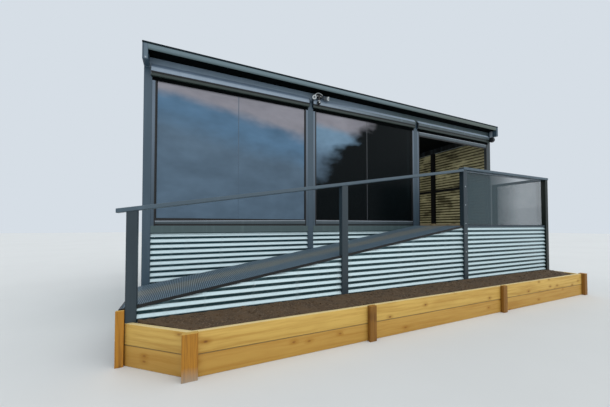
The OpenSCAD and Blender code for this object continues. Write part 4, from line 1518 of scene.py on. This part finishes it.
class CABIN_OT_glazing(bpy.types.Operator):
    """Makes the landing's tinted panes with their edge channels, and the screws on the posts"""

    bl_idname = "cabin.glazing"
    bl_label = "Glazing"

    def execute(self, context):
        low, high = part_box("landing_glass")
        left, right = bays("outer_post")[2]
        thick, lap, proud, tall = 0.010, 0.030, 0.004, 0.014
        panes, tops, feet = Shape(), Shape(), Shape()
        panes.box((left - lap, low.y, low.z), (right + lap, low.y + thick, high.z))
        panes.box((high.x - thick, low.y, low.z), (high.x, high.y, high.z))
        for x1, y1, x2, y2 in ((left, low.y - proud, right, low.y + thick + proud),
                               (high.x - thick - proud, low.y + 0.001, high.x + proud, high.y)):
            tops.box((x1, y1, high.z - tall), (x2, y2, high.z))
            feet.box((x1, y1, low.z), (x2, y2, low.z + tall))
        piece("landing_panes", panes, [tinted_glass()], "tinted_glass", "landing_glass")
        piece("landing_glass_channels", tops, [coat("strap_coat")], "frame_paint")
        piece("landing_glass_seats", feet, [coat("dark_steel")], "frame_paint")
        self.screws()
        return {"FINISHED"}

    def screws(self):
        """Plated screws in the front face of the post at the landing's left."""
        low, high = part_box("outer_post_3")
        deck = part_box("landing_boards")[1].z
        x = low.x + (high.x - low.x) * 0.45
        shape = Shape()
        for up in (0.672, 0.355, 0.036, -0.134, -0.45):
            shape.turned([(-0.001, 0.0095), (0.002, 0.009), (0.004, 0.006), (0.0045, 0.002)],
                         lambda a, b, c: (x + b, low.y - a, deck + up + c), 10)
        piece("post_screws", shape, [coat("plated_screw")], "frame_paint")


class CABIN_OT_planter(bpy.types.Operator):
    """Makes the sleepers and pegs of the timber planter"""

    bl_idname = "cabin.planter"
    bl_label = "Planter"

    def execute(self, context):
        self.front()
        self.ends()
        self.pegs()
        return {"FINISHED"}

    def worn(self, at, inset, size):
        """A place across the timber, held a little inside its faces."""
        return min(max(at, inset), size - inset)

    def board(self, shape, start, along, across, long, thick, height, seed):
        """One sawn board from its low corner: it runs along, its face looks away from across."""
        sizes = settings("planter")
        outline = rounded(thick, height, sizes.arris, 2)
        rings, coordinates = [], []
        for u in [0.0, 0.004] + spread(0.08, long - 0.08, 0.24) + [long - 0.004, long]:
            end = 0.003 if u in (0.0, long) else 0.0
            bow = sizes.bow * noise.noise((u * 0.9, seed, 0.0))
            lift = sizes.bow * 0.6 * noise.noise((u * 0.9, seed, 5.0))
            rings.append([start + along * u + across * (self.worn(w, end, thick) + bow)
                          + Vector((0, 0, self.worn(v, end, height) + lift)) for w, v in outline])
            coordinates += [(u + seed * 3.7, v + seed * 1.3, w + seed * 2.1) for w, v in outline]
        shape.loft(rings, board=coordinates)

    def courses(self):
        """Foot and height of the two courses of sleepers."""
        low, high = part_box("planter_front")
        middle = (low.z + high.z) / 2
        return [(low.z, middle - low.z - 0.001), (middle, high.z - middle)]

    def front(self):
        gap = settings("planter").board_gap
        low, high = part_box("planter_front")
        joints = [low.x] + [x for x, width in self.peg_places()[1:3]] + [high.x]
        shape = Shape()
        for course, (foot, height) in enumerate(self.courses()):
            for k in range(3):
                self.board(shape, Vector((joints[k] + gap / 2, low.y, foot)), Vector((1, 0, 0)),
                           Vector((0, 1, 0)), joints[k + 1] - joints[k] - gap, high.y - low.y,
                           height, 1.0 + course * 3 + k)
        piece("planter_front_sleepers", shape, [sleeper_timber()], "sleeper_timber",
              "planter_front")

    def ends(self):
        low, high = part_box("planter_front")
        end_low, end_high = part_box("planter_ends")
        back = Vector((end_low.x, end_high.y, 0))
        run = Vector((low.x, low.y, 0)) - back
        along = run.normalized()
        across = Vector((-along.y, along.x, 0))
        thick, gap = high.y - low.y, 0.004
        shape = Shape()
        for course, (foot, height) in enumerate(self.courses()):
            self.board(shape, back + Vector((0, 0, foot)), along, across, run.length - gap, thick,
                       height, 9.0 + course)
            self.board(shape, Vector((end_high.x, low.y + thick + gap / 2, foot)),
                       Vector((0, 1, 0)), Vector((-1, 0, 0)), end_high.y - low.y - thick - gap,
                       thick, height, 12.0 + course)
        piece("planter_end_sleepers", shape, [sleeper_timber()], "sleeper_timber", "planter_ends")

    def front_pegs(self):
        """Points of the frame's pegs in front of the sleepers."""
        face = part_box("planter_front")[0].y - 0.03
        return [v for v in points_of("planter_pegs") if v.y < face]

    def peg_places(self):
        """Middle and width of the pegs along the front, from left to right."""
        sides = sorted({round(v.x, 4) for v in self.front_pegs()})
        return [((a + b) / 2, b - a) for a, b in zip(sides[::2], sides[1::2])]

    def pegs(self):
        low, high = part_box("planter_pegs")
        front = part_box("planter_front")[0].y
        top = max(v.z for v in self.front_pegs())
        thick = front - low.y
        corner, common, toe = 1, 2, 0
        shape = Shape()
        for number, (x, width) in enumerate(self.peg_places()):
            deep = thick if number < 3 else 2 * thick
            self.peg(shape, x - width / 2, front - thick, width, deep, top, 20.0 + number,
                     common if number else corner)
        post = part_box("outer_post_1")[0]
        self.peg(shape, low.x, post.y - thick / 2, post.x - 0.0005 - low.x, thick / 2, high.z, 31.0,
                 toe)
        finishes = [timber("peg_timber"), timber("corner_timber", stain=0.85, fade=0.16),
                    timber("deep_timber", top="peg", depth=0.56)]
        piece("planter_peg_timbers", shape, finishes, "sleeper_timber", "planter_pegs")

    def peg(self, shape, x, y, width, thick, top, seed, finish):
        """Upright peg with worn edges; its grain runs up."""
        outline = rounded(width, thick, settings("planter").arris, 2)
        rings, coordinates = [], []
        for z in [0.0] + spread(0.08, top - 0.06, 0.12) + [top - 0.004, top]:
            inset = 0.004 if z == top else 0.0
            rings.append([(x + self.worn(u, inset, width), y + self.worn(v, inset, thick), z)
                          for u, v in outline])
            coordinates += [(z + seed * 3.7, u + seed * 1.3, v + seed * 2.1) for u, v in outline]
        shape.loft(rings, finish, board=coordinates)


class CABIN_OT_soil(bpy.types.Operator):
    """Makes the planter's soil, with lumps lying on it"""

    bl_idname = "cabin.soil"
    bl_label = "Soil"

    def execute(self, context):
        self.bed()
        self.lumps()
        return {"FINISHED"}

    def front_edge(self, x):
        """Front edge of the soil at a place along the front, also in the splayed corner."""
        low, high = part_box("planter_soil")
        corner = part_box("planter_front")[0].x + 0.05
        if x >= corner:
            return low.y
        return high.y + (low.y - high.y) * (x - low.x) / (corner - low.x)

    def height(self, x, y):
        """Height of the soil: it rises to the back, and is rough."""
        low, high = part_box("planter_soil")
        heap = 0.042 * (y - low.y) / (high.y - low.y)
        rough = (noise.fractal((x * 5.0, y * 5.0, 1.0), 0.9, 2.1, 4) * 0.6
                 + noise.fractal((x * 19.0, y * 19.0, 4.0), 0.8, 2.2, 3) * 0.4)
        return high.z - 0.004 + heap + settings("planter").clod * rough

    def bed(self):
        low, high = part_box("planter_soil")
        rings = []
        columns = 26
        for x in spread(low.x + 0.012, high.x, settings("planter").soil_step):
            front = self.front_edge(x)
            ys = [front + (high.y - front) * i / columns for i in range(columns + 1)]
            rings.append([(x, y, self.height(x, y)) for y in ys]
                         + [(x, high.y, low.z), (x, front, low.z)])
        shape = Shape()
        shape.loft(rings)
        piece("planter_soil_bed", shape, [soil_finish()], "soil", "planter_soil", sharp=75)

    def lumps(self):
        """Loose clods and bits of bark."""
        low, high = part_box("planter_soil")
        draw = random.Random(7)
        shape = Shape()
        for number in range(settings("planter").lumps):
            x = draw.uniform(low.x + 0.25, high.x - 0.03)
            y = draw.uniform(self.front_edge(x) + 0.02, high.y - 0.02)
            size = draw.uniform(0.005, 0.016)
            turn, flat = draw.uniform(0, math.tau), draw.uniform(0.5, 0.9)
            z = self.height(x, y) + size * 0.2
            rings = []
            for up, wide in ((-0.8, 0.5), (-0.2, 1.0), (0.4, 0.85), (0.9, 0.35)):
                rings.append([(x + size * wide * draw.uniform(0.8, 1.2) * math.cos(t),
                               y + size * wide * flat * draw.uniform(0.8, 1.2) * math.sin(t),
                               z + size * up * flat)
                              for t in (turn + k * math.tau / 6 for k in range(6))])
            shape.loft(rings)
        piece("planter_soil_lumps", shape, [soil_finish()], "soil")


class CABIN_OT_floor(bpy.types.Operator):
    """Makes the floor planks inside the cabin"""

    bl_idname = "cabin.floor"
    bl_label = "Floor planks"

    def execute(self, context):
        low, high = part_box("floor_boards")
        shape = Shape()
        width, gap, edge = 0.138, 0.004, 0.002
        count = round((high.y - low.y) / (width + gap))
        pitch = (high.y - low.y) / count
        for i in range(count):
            y1, y2 = low.y + i * pitch, low.y + (i + 1) * pitch - gap
            runs = [(low.x, high.x)]
            for left, right, front, back in self.notches(low, high):
                if y2 > front and y1 < back:
                    runs = [part for a, b in runs
                            for part in ((a, min(b, left)), (max(a, right), b))
                            if part[1] - part[0] > 0.01]
            outline = [(y1, low.z), (y2, low.z), (y2, high.z - edge), (y2 - edge, high.z),
                       (y1 + edge, high.z), (y1, high.z - edge)]
            for a, b in runs:
                rings = [[(x, y, z) for y, z in outline] for x in spread(a, b, 1.2)]
                shape.loft(rings, board=[(x + i * 3.7, y + i * 1.3, z)
                                         for ring in rings for x, y, z in ring])
        planks = timber("plank_timber", "plank", "plank_dark", "plank", streak=1.6, knot=0.03)
        piece("floor_planks", shape, [planks], "deck_timber", "floor_boards")
        return {"FINISHED"}

    def notches(self, low, high):
        """Room that the posts take in the floor: (left, right, front, back)."""
        posts = [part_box(f"front_post_{i}") for i in range(1, 5)]
        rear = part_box("rear_posts")[0].y
        found = [(a.x, b.x, low.y - 1, b.y) for a, b in posts]
        found += [(a.x, b.x, rear, high.y + 1) for a, b in posts]
        left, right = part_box("wall_frames")
        a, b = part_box("left_skirt")
        centre, half, deep = (a.y + b.y) / 2, 0.05, 0.09
        found += [(x, x + deep, centre - half, centre + half) for x in (left.x, right.x - deep)]
        return found


class CABIN_PT_pieces(bpy.types.Panel):
    """Lists the operators and settings of the deck cabin"""

    bl_idname = "CABIN_PT_pieces"
    bl_label = "Deck Cabin"
    bl_space_type = "VIEW_3D"
    bl_region_type = "UI"
    bl_category = "Deck Cabin"

    def draw(self, context):
        for operator in OPERATORS:
            self.layout.operator(operator.bl_idname)
        for name, group in GROUPS.items():
            box = self.layout.box()
            box.label(text=group.__doc__)
            for field in group.__annotations__:
                box.prop(getattr(context.scene, name), field)


OPERATORS = [
    CABIN_OT_stage, CABIN_OT_steelwork, CABIN_OT_skirts, CABIN_OT_walls, CABIN_OT_roof,
    CABIN_OT_hoods, CABIN_OT_sheets, CABIN_OT_tracks, CABIN_OT_gear, CABIN_OT_security_light,
    CABIN_OT_walking_surface, CABIN_OT_glazing, CABIN_OT_planter, CABIN_OT_soil, CABIN_OT_floor,
]
CLASSES = [*GROUPS.values(), *OPERATORS, CABIN_PT_pieces]


def register():
    for part in CLASSES:
        bpy.utils.register_class(part)
    for name, group in GROUPS.items():
        setattr(bpy.types.Scene, name, PointerProperty(type=group))


def unregister():
    for name in GROUPS:
        delattr(bpy.types.Scene, name)
    for part in reversed(CLASSES):
        bpy.utils.unregister_class(part)


def main():
    register()
    for operator in OPERATORS:
        area, name = operator.bl_idname.split(".")
        getattr(getattr(bpy.ops, area), name)()


if __name__ == "__main__":
    main()
